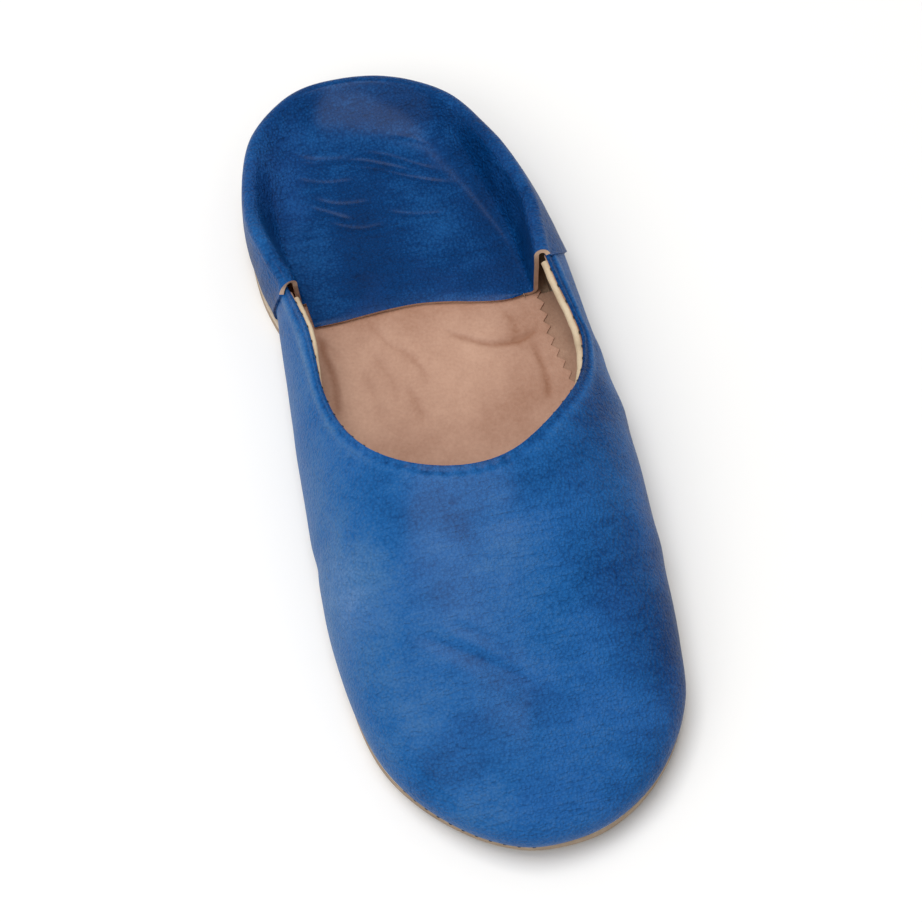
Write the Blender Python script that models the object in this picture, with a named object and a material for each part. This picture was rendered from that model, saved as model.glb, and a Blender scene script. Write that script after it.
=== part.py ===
"""Babouche slipper for the right foot: flat leather sole, hollow upper, folded back.

The slipper is a sole that stays flat but for its toe spring, a floor board and a sock
on it, one upper that is open at the throat, and a rolled binding inside the throat.
The vamp and the back quarter are sewn to each other, so they are one wall. The back is
folded forward and down, so that it lies over the sock as a flap.

Lengths are in metres. The toe points to -Y, the inner side of the foot is +X, and the
sole stands on Z = 0.
"""

import math
from collections import namedtuple

import bmesh
import bpy
import numpy as np

# Sole
SOLE_LENGTH = 0.276
SOLE_WIDTH = 0.1024
SOLE_THICKNESS = 0.0045
SOLE_EDGE_ROUND = 0.0006
TOE_SPRING = 0.0026
SPRING_START_SHARE = 0.80
LAYER_GAP = 0.0003

# Floor board and sock inside the slipper
INSOLE_THICKNESS = 0.0022
INSOLE_CLEARANCE = 0.0007
SOCK_THICKNESS = 0.0014
SOCK_MARGIN = 0.0007
LAYER_EDGE_ROUND = 0.0003
PINKED_START_SHARE = 0.315
PINKED_END_SHARE = 0.455
PINKED_CUT = 0.0065
PINK_PITCH = 0.005
PINK_DEPTH = 0.0016

# Upper
UPPER_WALL = 0.0018
FEATHER_INSET = 0.0013
BULGE_WIDTH = 0.005
WIDEST_RISE = 0.0057
INSTEP_HEIGHT = 0.0495
VAMP_ROUNDING = 0.050
SECTION_POWER = 2.2

# Folded back
HEEL_FOLD_RISE = 0.0066
FOLD_WIDTH = 0.026
ROLL_RADIUS = 0.0027
SEAM_FOOT_RUN = 0.0006
SEAM_FOOT_EASE = 0.0012
SEAM_LAP = 0.0009
LAP_START = 0.001
LAP_FADE = 0.016

# Throat binding
BINDING_THICKNESS = 0.0018
BINDING_GAP = 0.0005
BINDING_WIDTH = 0.004
BINDING_PROUD = 0.0007
BINDING_END_SHARE = 0.035

# Mesh fineness
SPAN_STEPS = 12
BOARD_STATIONS = 44
VAMP_COLUMNS = 62
QUARTER_COLUMNS = 34
UNDER_ROWS = 3
WALL_ROWS = 11
ROLL_ROWS = 6
FOOT_ROWS = 4
FLAP_ROWS = 4
FINE_STEPS = 40

SOLE_TOP = SOLE_THICKNESS
FEATHER_LEVEL = SOLE_TOP + LAYER_GAP
WIDEST_LEVEL = FEATHER_LEVEL + WIDEST_RISE
INSOLE_TOP = SOLE_TOP + LAYER_GAP + INSOLE_THICKNESS
SOCK_TOP = INSOLE_TOP + LAYER_GAP + SOCK_THICKNESS
FLAP_LEVEL = SOCK_TOP + LAYER_GAP + UPPER_WALL
INSOLE_INSET = FEATHER_INSET + UPPER_WALL + INSOLE_CLEARANCE
SOCK_INSET = INSOLE_INSET + SOCK_MARGIN

# Sole edge on both sides, as shares of the sole's width, and how far the upper's widest
# line stands past it, as a share of BULGE_WIDTH. Along runs from heel to toe.
Section = namedtuple("Section", "along lateral medial lateral_bulge medial_bulge")
SECTIONS = (
    Section(0.000, 0.215, -0.050, 0.36, 0.32),
    Section(0.016, 0.315, 0.085, 0.30, 0.28),
    Section(0.055, 0.420, 0.230, 0.24, 0.24),
    Section(0.115, 0.480, 0.320, 0.18, 0.24),
    Section(0.180, 0.505, 0.380, 0.20, 0.26),
    Section(0.240, 0.502, 0.412, -0.05, 0.48),
    Section(0.278, 0.482, 0.418, -0.20, 0.60),
    Section(0.310, 0.457, 0.420, 0.45, 0.72),
    Section(0.410, 0.455, 0.425, 0.90, 1.00),
    Section(0.515, 0.475, 0.453, 0.90, 0.95),
    Section(0.625, 0.505, 0.480, 0.58, 0.50),
    Section(0.720, 0.518, 0.484, 0.38, 0.25),
    Section(0.795, 0.510, 0.475, 0.16, 0.18),
    Section(0.855, 0.470, 0.453, 0.14, 0.18),
    Section(0.903, 0.394, 0.396, 0.30, 0.20),
    Section(0.944, 0.290, 0.304, 0.45, 0.30),
    Section(0.972, 0.183, 0.200, 0.52, 0.32),
    Section(0.987, 0.075, 0.088, 0.54, 0.40),
)

# Height of the vamp's crown, as a share of the way from its widest line to the instep.
Crown = namedtuple("Crown", "along height")
CROWNS = (
    Crown(0.00, 1.00),
    Crown(0.30, 1.00),
    Crown(0.45, 1.00),
    Crown(0.58, 1.00),
    Crown(0.66, 0.91),
    Crown(0.75, 0.75),
    Crown(0.83, 0.60),
    Crown(0.90, 0.47),
    Crown(0.95, 0.40),
    Crown(1.00, 0.36),
)

# The throat's edge from the lateral seam round to the medial seam, seen from above.
# Across is a share of the sole's width, positive on the medial side.
Throat = namedtuple("Throat", "across along")
THROAT_EDGE = (
    Throat(-0.429, 0.290),
    Throat(-0.415, 0.320),
    Throat(-0.403, 0.350),
    Throat(-0.401, 0.390),
    Throat(-0.403, 0.430),
    Throat(-0.385, 0.475),
    Throat(-0.354, 0.508),
    Throat(-0.310, 0.535),
    Throat(-0.250, 0.558),
    Throat(-0.173, 0.576),
    Throat(-0.090, 0.587),
    Throat(-0.010, 0.591),
    Throat(0.065, 0.589),
    Throat(0.130, 0.581),
    Throat(0.195, 0.566),
    Throat(0.262, 0.545),
    Throat(0.325, 0.520),
    Throat(0.368, 0.499),
    Throat(0.400, 0.474),
    Throat(0.419, 0.446),
    Throat(0.424, 0.418),
    Throat(0.414, 0.390),
    Throat(0.393, 0.358),
    Throat(0.379, 0.322),
)

# The folded back from the medial seam (0) round the heel to the lateral seam (1). Rise is
# the crest's share of the way from its height at the heel to its height at the seams,
# shoulder and foot are how far inside the widest line the roll starts and the fold meets
# the floor, and ease is how far the foot is rounded, all three as shares of FOLD_WIDTH.
Fold = namedtuple("Fold", "around rise shoulder foot ease")
FOLDS = (
    Fold(0.08, 0.86, 0.17, 0.50, 0.12),
    Fold(0.17, 0.66, 0.09, 0.50, 0.22),
    Fold(0.30, 0.36, 0.07, 0.56, 0.30),
    Fold(0.44, 0.10, 0.03, 0.62, 0.38),
    Fold(0.56, 0.00, 0.01, 0.64, 0.40),
    Fold(0.70, 0.14, 0.01, 0.58, 0.34),
    Fold(0.82, 0.44, 0.02, 0.44, 0.25),
    Fold(0.92, 0.76, 0.07, 0.42, 0.12),
)

# The flap's free edge, from the medial seam to the lateral seam, seen from above.
FlapEdge = namedtuple("FlapEdge", "across along")
FLAP_EDGE = (
    FlapEdge(0.328, 0.312),
    FlapEdge(0.298, 0.321),
    FlapEdge(0.240, 0.324),
    FlapEdge(0.142, 0.319),
    FlapEdge(0.067, 0.312),
    FlapEdge(-0.029, 0.306),
    FlapEdge(-0.110, 0.305),
    FlapEdge(-0.194, 0.306),
    FlapEdge(-0.280, 0.308),
    FlapEdge(-0.366, 0.308),
)

# Blue-dyed grain leather, undyed leather for the floor, the binding and the sole
Leather = namedtuple("Leather", "name colour roughness")
UPPER_LEATHER = Leather("blue_dyed_leather", (0.021, 0.128, 0.402), 0.50)
SOCK_LEATHER = Leather("undyed_sock_leather", (0.600, 0.352, 0.242), 0.72)
BOARD_LEATHER = Leather("undyed_board_leather", (0.480, 0.290, 0.180), 0.80)
BINDING_LEATHER = Leather("cream_binding_leather", (0.680, 0.530, 0.370), 0.65)
SOLE_LEATHER = Leather("undyed_sole_leather", (0.540, 0.410, 0.300), 0.82)


def clear_scene():
    """Remove everything that the file starts with."""
    for item in list(bpy.data.objects):
        bpy.data.objects.remove(item, do_unlink=True)
    for mesh in list(bpy.data.meshes):
        bpy.data.meshes.remove(mesh)


def leather(kind):
    """Make the material of one leather."""
    material = bpy.data.materials.new(kind.name)
    material.use_nodes = True
    shader = material.node_tree.nodes["Principled BSDF"]
    shader.inputs["Base Color"].default_value = (*kind.colour, 1.0)
    shader.inputs["Roughness"].default_value = kind.roughness
    shader.inputs["Metallic"].default_value = 0.0
    material.diffuse_color = (*kind.colour, 1.0)
    return material


def place(across, along):
    """Point seen from above, from a share of the sole's width and one of its length."""
    return (across * SOLE_WIDTH, (0.5 - along) * SOLE_LENGTH)


def along_of(y):
    """Share of the sole's length at y, 0 at the heel and 1 at the toe."""
    return 0.5 - y / SOLE_LENGTH


def toe_lift(y):
    """Height that the toe spring adds at y."""
    past_start = np.clip((along_of(y) - SPRING_START_SHARE) / (1.0 - SPRING_START_SHARE), 0.0, None)
    return TOE_SPRING * past_start ** 2


def smooth_curve(points, closed, steps=SPAN_STEPS):
    """Fine points of a centripetal curve through all the given points."""
    points = np.asarray(points, dtype=float)
    if closed:
        padded = np.vstack([points[-1:], points, points[:2]])
    else:
        first = 2.0 * points[0] - points[1]
        last = 2.0 * points[-1] - points[-2]
        padded = np.vstack([first, points, last])
    fine = []
    for p0, p1, p2, p3 in zip(padded, padded[1:], padded[2:], padded[3:]):
        t0 = 0.0
        t1 = t0 + math.sqrt(np.linalg.norm((p1 - p0)[:2]))
        t2 = t1 + math.sqrt(np.linalg.norm((p2 - p1)[:2]))
        t3 = t2 + math.sqrt(np.linalg.norm((p3 - p2)[:2]))
        for t in np.linspace(t1, t2, steps, endpoint=False):
            a1 = ((t1 - t) * p0 + (t - t0) * p1) / (t1 - t0)
            a2 = ((t2 - t) * p1 + (t - t1) * p2) / (t2 - t1)
            a3 = ((t3 - t) * p2 + (t - t2) * p3) / (t3 - t2)
            b1 = ((t2 - t) * a1 + (t - t0) * a2) / (t2 - t0)
            b2 = ((t3 - t) * a2 + (t - t1) * a3) / (t3 - t1)
            fine.append(((t2 - t) * b1 + (t - t1) * b2) / (t2 - t1))
    if not closed:
        fine.append(points[-1])
    return np.array(fine)


def run_lengths(points):
    """Length along a line of points, up to each of them."""
    steps = np.linalg.norm(np.diff(points, axis=0), axis=1)
    return np.concatenate([[0.0], np.cumsum(steps)])


def resample(points, shares):
    """Points at the given shares of a line's length."""
    lengths = run_lengths(points)
    wanted = np.asarray(shares) * lengths[-1]
    return np.stack([np.interp(wanted, lengths, column) for column in points.T], axis=1)


def table_value(stations, values, at):
    """Value between a table's rows on a smooth curve."""
    stations = np.asarray(stations, dtype=float)
    values = np.asarray(values, dtype=float)
    slopes = np.gradient(values, stations)
    row = int(np.clip(np.searchsorted(stations, at) - 1, 0, len(stations) - 2))
    span = stations[row + 1] - stations[row]
    t = min(max((at - stations[row]) / span, 0.0), 1.0)
    start = values[row] * (1 + 2 * t) * (1 - t) ** 2 + slopes[row] * span * t * (1 - t) ** 2
    end = values[row + 1] * t * t * (3 - 2 * t) + slopes[row + 1] * span * t * t * (t - 1)
    return start + end


class Outline:
    """The sole's edge as a closed line from the heel by the medial side and back."""

    def __init__(self):
        medial = [(*place(s.medial, s.along), s.medial_bulge) for s in SECTIONS]
        lateral = [(*place(-s.lateral, s.along), s.lateral_bulge) for s in SECTIONS]
        fine = smooth_curve(medial + lateral[::-1], closed=True)
        fine = np.roll(fine, -int(np.argmax(fine[:, 1])), axis=0)
        self.edge = np.vstack([fine, fine[:1]])[:, :2]
        self.outward = self._outward(fine[:, :2])
        bulge = np.append(fine[:, 2], fine[0, 2]) * BULGE_WIDTH
        self.widest = self.edge + self.outward * bulge[:, None]
        lengths = run_lengths(self.widest)
        self.round_share = lengths / lengths[-1]
        self.girth = lengths[-1]

    @staticmethod
    def _outward(loop):
        tangent = np.roll(loop, -1, axis=0) - np.roll(loop, 1, axis=0)
        tangent /= np.linalg.norm(tangent, axis=1)[:, None]
        outward = np.stack([-tangent[:, 1], tangent[:, 0]], axis=1)
        return np.vstack([outward, outward[:1]])

    def station(self, share):
        """Edge point, widest point and outward direction at a share of the way round."""
        at = share % 1.0
        found = []
        for line in (self.edge, self.widest, self.outward):
            found.append(np.array([np.interp(at, self.round_share, c) for c in line.T]))
        found[2] /= np.linalg.norm(found[2])
        return found

    def nearest_share(self, point):
        """Share of the way round of the widest line's point nearest to a point."""
        gaps = np.linalg.norm(self.widest - np.asarray(point), axis=1)
        return float(self.round_share[int(np.argmin(gaps[:-1]))])

    def inside(self, points):
        """How far points seen from above lie inside the widest line."""
        start = self.widest[:-1]
        run = self.widest[1:] - start
        offset = points[:, None, :] - start[None, :, :]
        t = np.clip((offset * run).sum(axis=2) / (run ** 2).sum(axis=1), 0.0, 1.0)
        gap = offset - t[:, :, None] * run[None, :, :]
        return np.sqrt((gap ** 2).sum(axis=2).min(axis=1))

    def halves(self, inset, shares):
        """Medial and lateral half of the sole's edge, moved inward, heel to toe."""
        line = self.edge - self.outward * inset
        toe = int(np.argmin(line[:, 1]))
        return resample(line[:toe + 1], shares), resample(line[toe:][::-1], shares)


def section_rise(inset):
    """Share of the crown that the wall has reached at an inset from its widest line."""
    flat = 1.0 - np.clip(np.asarray(inset) / VAMP_ROUNDING, 0.0, 1.0)
    return (1.0 - flat ** SECTION_POWER) ** (1.0 / SECTION_POWER)


def crown_height(y):
    """Height of the vamp's crown at y."""
    stations = [row.along for row in CROWNS]
    values = [row.height for row in CROWNS]
    share = table_value(stations, values, along_of(y))
    return WIDEST_LEVEL + share * (INSTEP_HEIGHT - WIDEST_LEVEL)


def vamp_heights(outline, plan):
    """Heights of the vamp over points seen from above."""
    crowns = np.array([crown_height(y) for y in plan[:, 1]])
    return WIDEST_LEVEL + (crowns - WIDEST_LEVEL) * section_rise(outline.inside(plan))


def with_heights(plan, heights):
    """Points in space from points seen from above, with the toe spring added."""
    return np.column_stack([plan, heights + toe_lift(plan[:, 1])])


def under_rows(edge, widest, outward):
    """The wall's turned-in part, from the feather line out and up to the widest line."""
    feather = edge - outward * FEATHER_INSET
    rows = []
    for row in range(UNDER_ROWS):
        angle = 0.5 * math.pi * row / UNDER_ROWS
        plan = feather + (widest - feather) * math.sin(angle)
        height = FEATHER_LEVEL + WIDEST_RISE * (1.0 - math.cos(angle))
        rows.append((plan, height))
    return rows


def vamp_column(outline, share, throat):
    """One line of the vamp, from the feather line over the widest line to the throat."""
    edge, widest, outward = outline.station(share)
    fine = widest + (throat - widest) * (np.linspace(0.0, 1.0, FINE_STEPS + 1) ** 2)[:, None]
    over = with_heights(fine, vamp_heights(outline, fine))
    over = resample(over, np.linspace(0.0, 1.0, WALL_ROWS + 1))
    under = under_rows(edge, widest, outward)
    plan = np.array([point for point, _ in under])
    heights = np.array([height for _, height in under])
    return np.vstack([with_heights(plan, heights), over])


def vamp_grid(outline, throat):
    """Columns of the vamp from the lateral seam round the toe to the medial seam."""
    start = outline.nearest_share(throat[0])
    end = outline.nearest_share(throat[-1])
    even = run_lengths(throat)[-1] / ((start - end) * outline.girth)
    columns = []
    for column in range(VAMP_COLUMNS + 1):
        t = column / VAMP_COLUMNS
        share = start + (end - start) * (even * t + (1.0 - even) * t * t * (3.0 - 2.0 * t))
        columns.append(vamp_column(outline, share, resample(throat, [t])[0]))
    return np.array(columns), start, end


def fold_section(shoulder, crest_level, foot_inset, foot_ease):
    """Section of the folded back as (inset, height): wall, roll and rounded foot."""
    shoulder_level = crest_level - ROLL_RADIUS
    insets = shoulder * np.linspace(0.0, 1.0, FINE_STEPS + 1) ** 2
    rise = section_rise(insets) / float(section_rise(shoulder))
    heights = WIDEST_LEVEL + (shoulder_level - WIDEST_LEVEL) * rise
    wall = resample(np.column_stack([insets, heights]), np.linspace(0.0, 1.0, WALL_ROWS + 1))

    top = np.array([shoulder + ROLL_RADIUS, shoulder_level])
    foot = np.array([foot_inset, FLAP_LEVEL])
    fall = foot - top
    leave = math.atan2(fall[1], fall[0]) + math.acos(ROLL_RADIUS / np.linalg.norm(fall))
    rows = list(wall)
    for row in range(1, ROLL_ROWS + 1):
        angle = math.pi + (leave - math.pi) * row / ROLL_ROWS
        rows.append(top + ROLL_RADIUS * np.array([math.cos(angle), math.sin(angle)]))
    drop = foot - rows[-1]
    start = foot - drop * min(1.0, foot_ease / np.linalg.norm(drop))
    end = foot + np.array([foot_ease, 0.0])
    for row in range(FOOT_ROWS + 1):
        t = row / FOOT_ROWS
        rows.append((1 - t) ** 2 * start + 2 * t * (1 - t) * foot + t * t * end)
    return np.array(rows)


def quarter_grid(outline, vamp, lateral_seam, medial_seam):
    """Columns of the folded back from the medial seam round the heel to the lateral seam."""
    way_round = medial_seam + 1.0 - lateral_seam
    run = way_round * outline.girth
    inner_steps = np.linspace(0.0, 1.0, QUARTER_COLUMNS + 1)[1:-1]
    around = np.concatenate([[0.0, LAP_START / run], inner_steps, [1.0 - LAP_START / run, 1.0]])
    edge_points = [place(row.across, row.along) for row in FLAP_EDGE]
    flap_edge = smooth_curve(edge_points, closed=False)

    heel_crest = FLAP_LEVEL + HEEL_FOLD_RISE
    ends = []
    for column in (vamp[-1], vamp[0]):
        top = column[-1]
        inset = float(outline.inside(top[None, :2])[0])
        ends.append((inset, top[2] + ROLL_RADIUS))
    stations = [0.0] + [row.around for row in FOLDS] + [1.0]
    seam_crest = 0.5 * (ends[0][1] + ends[1][1])
    levels = [heel_crest + row.rise * (seam_crest - heel_crest) for row in FOLDS]
    shoulders = [row.shoulder * FOLD_WIDTH for row in FOLDS]
    feet = [row.foot * FOLD_WIDTH for row in FOLDS]
    eases = [SEAM_FOOT_EASE] + [row.ease * FOLD_WIDTH for row in FOLDS] + [SEAM_FOOT_EASE]
    levels = [ends[0][1]] + levels + [ends[1][1]]
    shoulders = [ends[0][0]] + shoulders + [ends[1][0]]
    seam_reach = 2.0 * ROLL_RADIUS + SEAM_FOOT_RUN
    feet = [ends[0][0] + seam_reach] + feet + [ends[1][0] + seam_reach]

    columns = []
    for at in around:
        edge, widest, outward = outline.station(medial_seam - at * way_round)
        section = fold_section(
            table_value(stations, shoulders, at),
            table_value(stations, levels, at),
            table_value(stations, feet, at),
            table_value(stations, eases, at),
        )
        from_seam = min(at, 1.0 - at) * run
        fade = max(0.0, 1.0 - (from_seam - LAP_START) / LAP_FADE)
        lap = SEAM_LAP * fade if from_seam > 0.0 else 0.0
        under = under_rows(edge, widest + outward * lap, outward)
        plan = [point for point, _ in under]
        heights = [height for _, height in under]
        for inset, height in section:
            plan.append(widest - outward * (inset - lap))
            heights.append(height)
        foot = plan[-1]
        landing = resample(flap_edge, [at])[0]
        for row in range(1, FLAP_ROWS + 1):
            plan.append(foot + (landing - foot) * row / FLAP_ROWS)
            heights.append(FLAP_LEVEL)
        columns.append(with_heights(np.array(plan), np.array(heights)))
    columns = np.array(columns)
    shared = UNDER_ROWS + WALL_ROWS + 1
    columns[0, :shared] = vamp[-1]
    columns[-1, :shared] = vamp[0]
    return columns


def new_object(name, mesh_data, material):
    """Object of a bmesh, shaded smooth, with its material."""
    mesh = bpy.data.meshes.new(name)
    mesh_data.to_mesh(mesh)
    mesh_data.free()
    mesh.materials.append(material)
    mesh.shade_smooth()
    item = bpy.data.objects.new(name, mesh)
    bpy.context.scene.collection.objects.link(item)
    return item


def add_grid(mesh_data, columns):
    """Add quads between neighbouring columns of vertices."""
    for left, right in zip(columns, columns[1:]):
        for row in range(len(left) - 1):
            mesh_data.faces.new((left[row], right[row], right[row + 1], left[row + 1]))


def build_upper(outline, vamp, quarter):
    """Vamp and folded back as one wall, thickened inward."""
    mesh_data = bmesh.new()
    vamp_vertices = [[mesh_data.verts.new(p) for p in column] for column in vamp]
    shared = UNDER_ROWS + WALL_ROWS + 1
    quarter_vertices = []
    last = len(quarter) - 1
    for number, column in enumerate(quarter):
        seam = {0: vamp_vertices[-1], last: vamp_vertices[0]}.get(number)
        if seam is None:
            quarter_vertices.append([mesh_data.verts.new(p) for p in column])
        else:
            free_rows = [mesh_data.verts.new(p) for p in column[shared:]]
            quarter_vertices.append(seam + free_rows)
    add_grid(mesh_data, vamp_vertices)
    add_grid(mesh_data, quarter_vertices)
    upper = new_object("upper", mesh_data, leather(UPPER_LEATHER))
    wall = upper.modifiers.new("wall", "SOLIDIFY")
    wall.thickness = UPPER_WALL
    wall.offset = -1.0
    return upper


def build_board(name, outline, inset, bottom, top, edge_round, kind, edge_line=None):
    """Flat layer with the sole's outline, rounded at its edges and lifted at the toe."""
    even = np.linspace(0.0, 1.0, BOARD_STATIONS + 1)
    halves = edge_line or (lambda extra: outline.halves(inset + extra, even))
    loops = []
    mesh_data = bmesh.new()
    levels = (
        (bottom, edge_round),
        (bottom + edge_round, 0.0),
        (top - edge_round, 0.0),
        (top, edge_round),
    )
    for level, extra in levels:
        medial, lateral = halves(extra)
        loop = np.vstack([medial, lateral[::-1][1:-1]])
        raised = with_heights(loop, np.full(len(loop), level))
        loops.append([mesh_data.verts.new(p) for p in raised])
    count = len(loops[0])
    for low, high in zip(loops, loops[1:]):
        for i in range(count):
            j = (i + 1) % count
            mesh_data.faces.new((low[j], low[i], high[i], high[j]))
    for loop, upward in ((loops[0], False), (loops[-1], True)):
        for i in range(count // 2):
            ring = [loop[i], loop[i + 1], loop[(-i - 1) % count], loop[-i % count]]
            face = list(dict.fromkeys(ring))
            mesh_data.faces.new(face[::-1] if upward else face)
    return new_object(name, mesh_data, leather(kind))


def pinked_halves(outline):
    """Edge of the sock, cut back with pinking shears on the medial side of the waist."""
    plain = outline.halves(SOCK_INSET, np.linspace(0.0, 1.0, BOARD_STATIONS + 1))[0]
    side_length = run_lengths(plain)[-1]
    fine = outline.halves(SOCK_INSET, np.linspace(0.0, 1.0, 10 * BOARD_STATIONS))[0]
    fine_shares = np.linspace(0.0, 1.0, len(fine))
    alongs = along_of(fine[:, 1])
    first = float(np.interp(PINKED_START_SHARE, alongs, fine_shares))
    last = float(np.interp(PINKED_END_SHARE, alongs, fine_shares))
    teeth = max(2, round((last - first) * side_length / PINK_PITCH))
    pinked = np.linspace(first, last, 2 * teeth + 1)
    before = np.linspace(0.0, first, BOARD_STATIONS // 3)[:-1]
    after = np.linspace(last, 1.0, BOARD_STATIONS // 2)[1:]
    shares = np.concatenate([before, pinked, after])
    ramp = 0.5 * (last - first)
    cut = np.zeros(len(shares))
    for number, share in enumerate(shares):
        rise = min(max((share - first + ramp) / ramp, 0.0), 1.0)
        fall = min(max((last - share) / ramp, 0.0), 1.0)
        ease = min(rise, fall)
        cut[number] = PINKED_CUT * ease * ease * (3.0 - 2.0 * ease)
    points_at = np.arange(len(before), len(before) + len(pinked))
    cut[points_at[1::2]] += PINK_DEPTH

    def edge_line(extra):
        medial, lateral = outline.halves(SOCK_INSET + extra, shares)
        tangent = np.gradient(medial, axis=0)
        tangent /= np.linalg.norm(tangent, axis=1)[:, None]
        inward = np.stack([tangent[:, 1], -tangent[:, 0]], axis=1)
        return medial + inward * cut[:, None], lateral

    return edge_line


def build_binding(vamp):
    """Rolled strip along the throat, against the inner face of the upper's wall."""
    lateral_to_medial = vamp[:, -1]
    next_row = vamp[:, -2]
    along = np.gradient(lateral_to_medial, axis=0)
    down = next_row - lateral_to_medial
    along /= np.linalg.norm(along, axis=1)[:, None]
    down -= (down * along).sum(axis=1)[:, None] * along
    down /= np.linalg.norm(down, axis=1)[:, None]
    inward = np.cross(along, down)
    shares = np.linspace(0.0, 1.0, len(vamp))
    kept = (shares >= BINDING_END_SHARE) & (shares <= 1.0 - BINDING_END_SHARE)
    back = UPPER_WALL + BINDING_GAP
    front = back + BINDING_THICKNESS
    mesh_data = bmesh.new()
    rings = []
    for share, point, fall, into in zip(
        shares[kept], lateral_to_medial[kept], down[kept], inward[kept]
    ):
        wing = abs(2.0 * share - 1.0)
        proud = BINDING_PROUD * (2.0 * min(1.0, 2.0 * wing) - 1.0)
        width = BINDING_WIDTH * (0.6 + 0.4 * min(1.0, 2.0 * wing))
        crown = 0.3 * BINDING_THICKNESS
        section = (
            (width, back),
            (crown - proud, back),
            (-proud, back + crown),
            (-proud, front - crown),
            (crown - proud, front),
            (width, front),
        )
        rings.append([mesh_data.verts.new(point + fall * d + into * n) for d, n in section])
    for left, right in zip(rings, rings[1:]):
        count = len(left)
        for i in range(count):
            j = (i + 1) % count
            mesh_data.faces.new((left[i], right[i], right[j], left[j]))
    mesh_data.faces.new(rings[0])
    mesh_data.faces.new(rings[-1][::-1])
    bmesh.ops.recalc_face_normals(mesh_data, faces=mesh_data.faces)
    return new_object("throat_binding", mesh_data, leather(BINDING_LEATHER))


def centre_on_footprint(items):
    """Move all pieces so that the whole slipper's box is centred over the origin."""
    corners = np.array([v.co for item in items for v in item.data.vertices])
    middle = 0.5 * (corners.min(axis=0) + corners.max(axis=0))
    for item in items:
        for vertex in item.data.vertices:
            vertex.co.x -= middle[0]
            vertex.co.y -= middle[1]


def main():
    clear_scene()
    outline = Outline()
    throat_points = [place(row.across, row.along) for row in THROAT_EDGE]
    throat = smooth_curve(throat_points, closed=False)
    vamp, lateral_seam, medial_seam = vamp_grid(outline, throat)
    quarter = quarter_grid(outline, vamp, lateral_seam, medial_seam)
    items = [
        build_board("outsole", outline, 0.0, 0.0, SOLE_TOP, SOLE_EDGE_ROUND, SOLE_LEATHER),
        build_board("insole", outline, INSOLE_INSET, FEATHER_LEVEL, INSOLE_TOP,
                    LAYER_EDGE_ROUND, BOARD_LEATHER),
        build_board("sock", outline, SOCK_INSET, INSOLE_TOP + LAYER_GAP, SOCK_TOP,
                    LAYER_EDGE_ROUND, SOCK_LEATHER, pinked_halves(outline)),
        build_upper(outline, vamp, quarter),
        build_binding(vamp),
    ]
    centre_on_footprint(items)


main()
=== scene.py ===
"""Babouche slipper for the right foot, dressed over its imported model.

The toe points to -Y, the inner side of the foot is +X and the sole stands on Z = 0, in
metres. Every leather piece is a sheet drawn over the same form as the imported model, then
given its thickness, its cut edges and its creases.
"""

import logging
import math
from collections.abc import Iterator
from contextlib import contextmanager
from dataclasses import dataclass, field
from enum import Enum

import bpy
import numpy as np
from mathutils import Matrix, Vector


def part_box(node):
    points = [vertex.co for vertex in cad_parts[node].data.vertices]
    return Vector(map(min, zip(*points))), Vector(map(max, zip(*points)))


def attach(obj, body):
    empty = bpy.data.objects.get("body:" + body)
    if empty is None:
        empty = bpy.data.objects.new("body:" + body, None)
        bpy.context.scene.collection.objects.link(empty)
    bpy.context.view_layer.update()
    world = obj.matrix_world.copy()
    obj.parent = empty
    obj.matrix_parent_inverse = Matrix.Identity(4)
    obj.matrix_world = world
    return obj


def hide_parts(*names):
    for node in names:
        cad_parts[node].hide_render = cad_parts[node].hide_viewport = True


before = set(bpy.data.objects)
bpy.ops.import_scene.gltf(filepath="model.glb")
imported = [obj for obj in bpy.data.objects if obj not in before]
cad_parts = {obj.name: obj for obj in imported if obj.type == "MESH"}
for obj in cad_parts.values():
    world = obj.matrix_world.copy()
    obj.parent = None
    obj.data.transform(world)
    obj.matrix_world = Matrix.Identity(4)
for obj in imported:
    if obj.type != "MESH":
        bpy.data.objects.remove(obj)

LOG = logging.getLogger("slipper")
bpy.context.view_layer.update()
MM = 0.001


class Side(Enum):
    """Side of the right foot's slipper."""

    MEDIAL = 1
    LATERAL = -1


def linear(hex_colour: str) -> tuple[float, float, float, float]:
    """Turn an sRGB hex colour to linear light.

    Args:
        hex_colour: Six hex digits.

    Returns:
        Red, green, blue and alpha for a node socket.
    """
    parts = [int(hex_colour[i:i + 2], 16) / 255.0 for i in (0, 2, 4)]
    parts = [c / 12.92 if c <= 0.04045 else ((c + 0.055) / 1.055) ** 2.4 for c in parts]
    return (parts[0], parts[1], parts[2], 1.0)


def add_node(
    tree: bpy.types.NodeTree,
    kind: str,
    inputs: dict | None = None,
    settings: dict | None = None,
) -> bpy.types.Node:
    """Add a node with its settings and links.

    Args:
        tree: The material's node tree.
        kind: Blender's name of the node's type.
        inputs: Value or linked output for each input, by its name or number.
        settings: Attributes of the node.

    Returns:
        The new node.
    """
    node = tree.nodes.new(kind)
    for name, value in (settings or {}).items():
        setattr(node, name, value)
    for key, value in (inputs or {}).items():
        socket = node.inputs[key]
        if isinstance(value, bpy.types.NodeSocket):
            tree.links.new(value, socket)
        else:
            socket.default_value = value
    return node


def shade_by_ramp(ramp: bpy.types.ColorRamp, stops: list[tuple[float, str]]) -> None:
    """Set a colour ramp's stops from sRGB hex colours.

    Args:
        ramp: The ramp, with its two first stops.
        stops: Place and colour of each stop.
    """
    while len(ramp.elements) < len(stops):
        ramp.elements.new(0.5)
    for element, (place, colour) in zip(ramp.elements, stops):
        element.position = place
        element.color = linear(colour)


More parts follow.
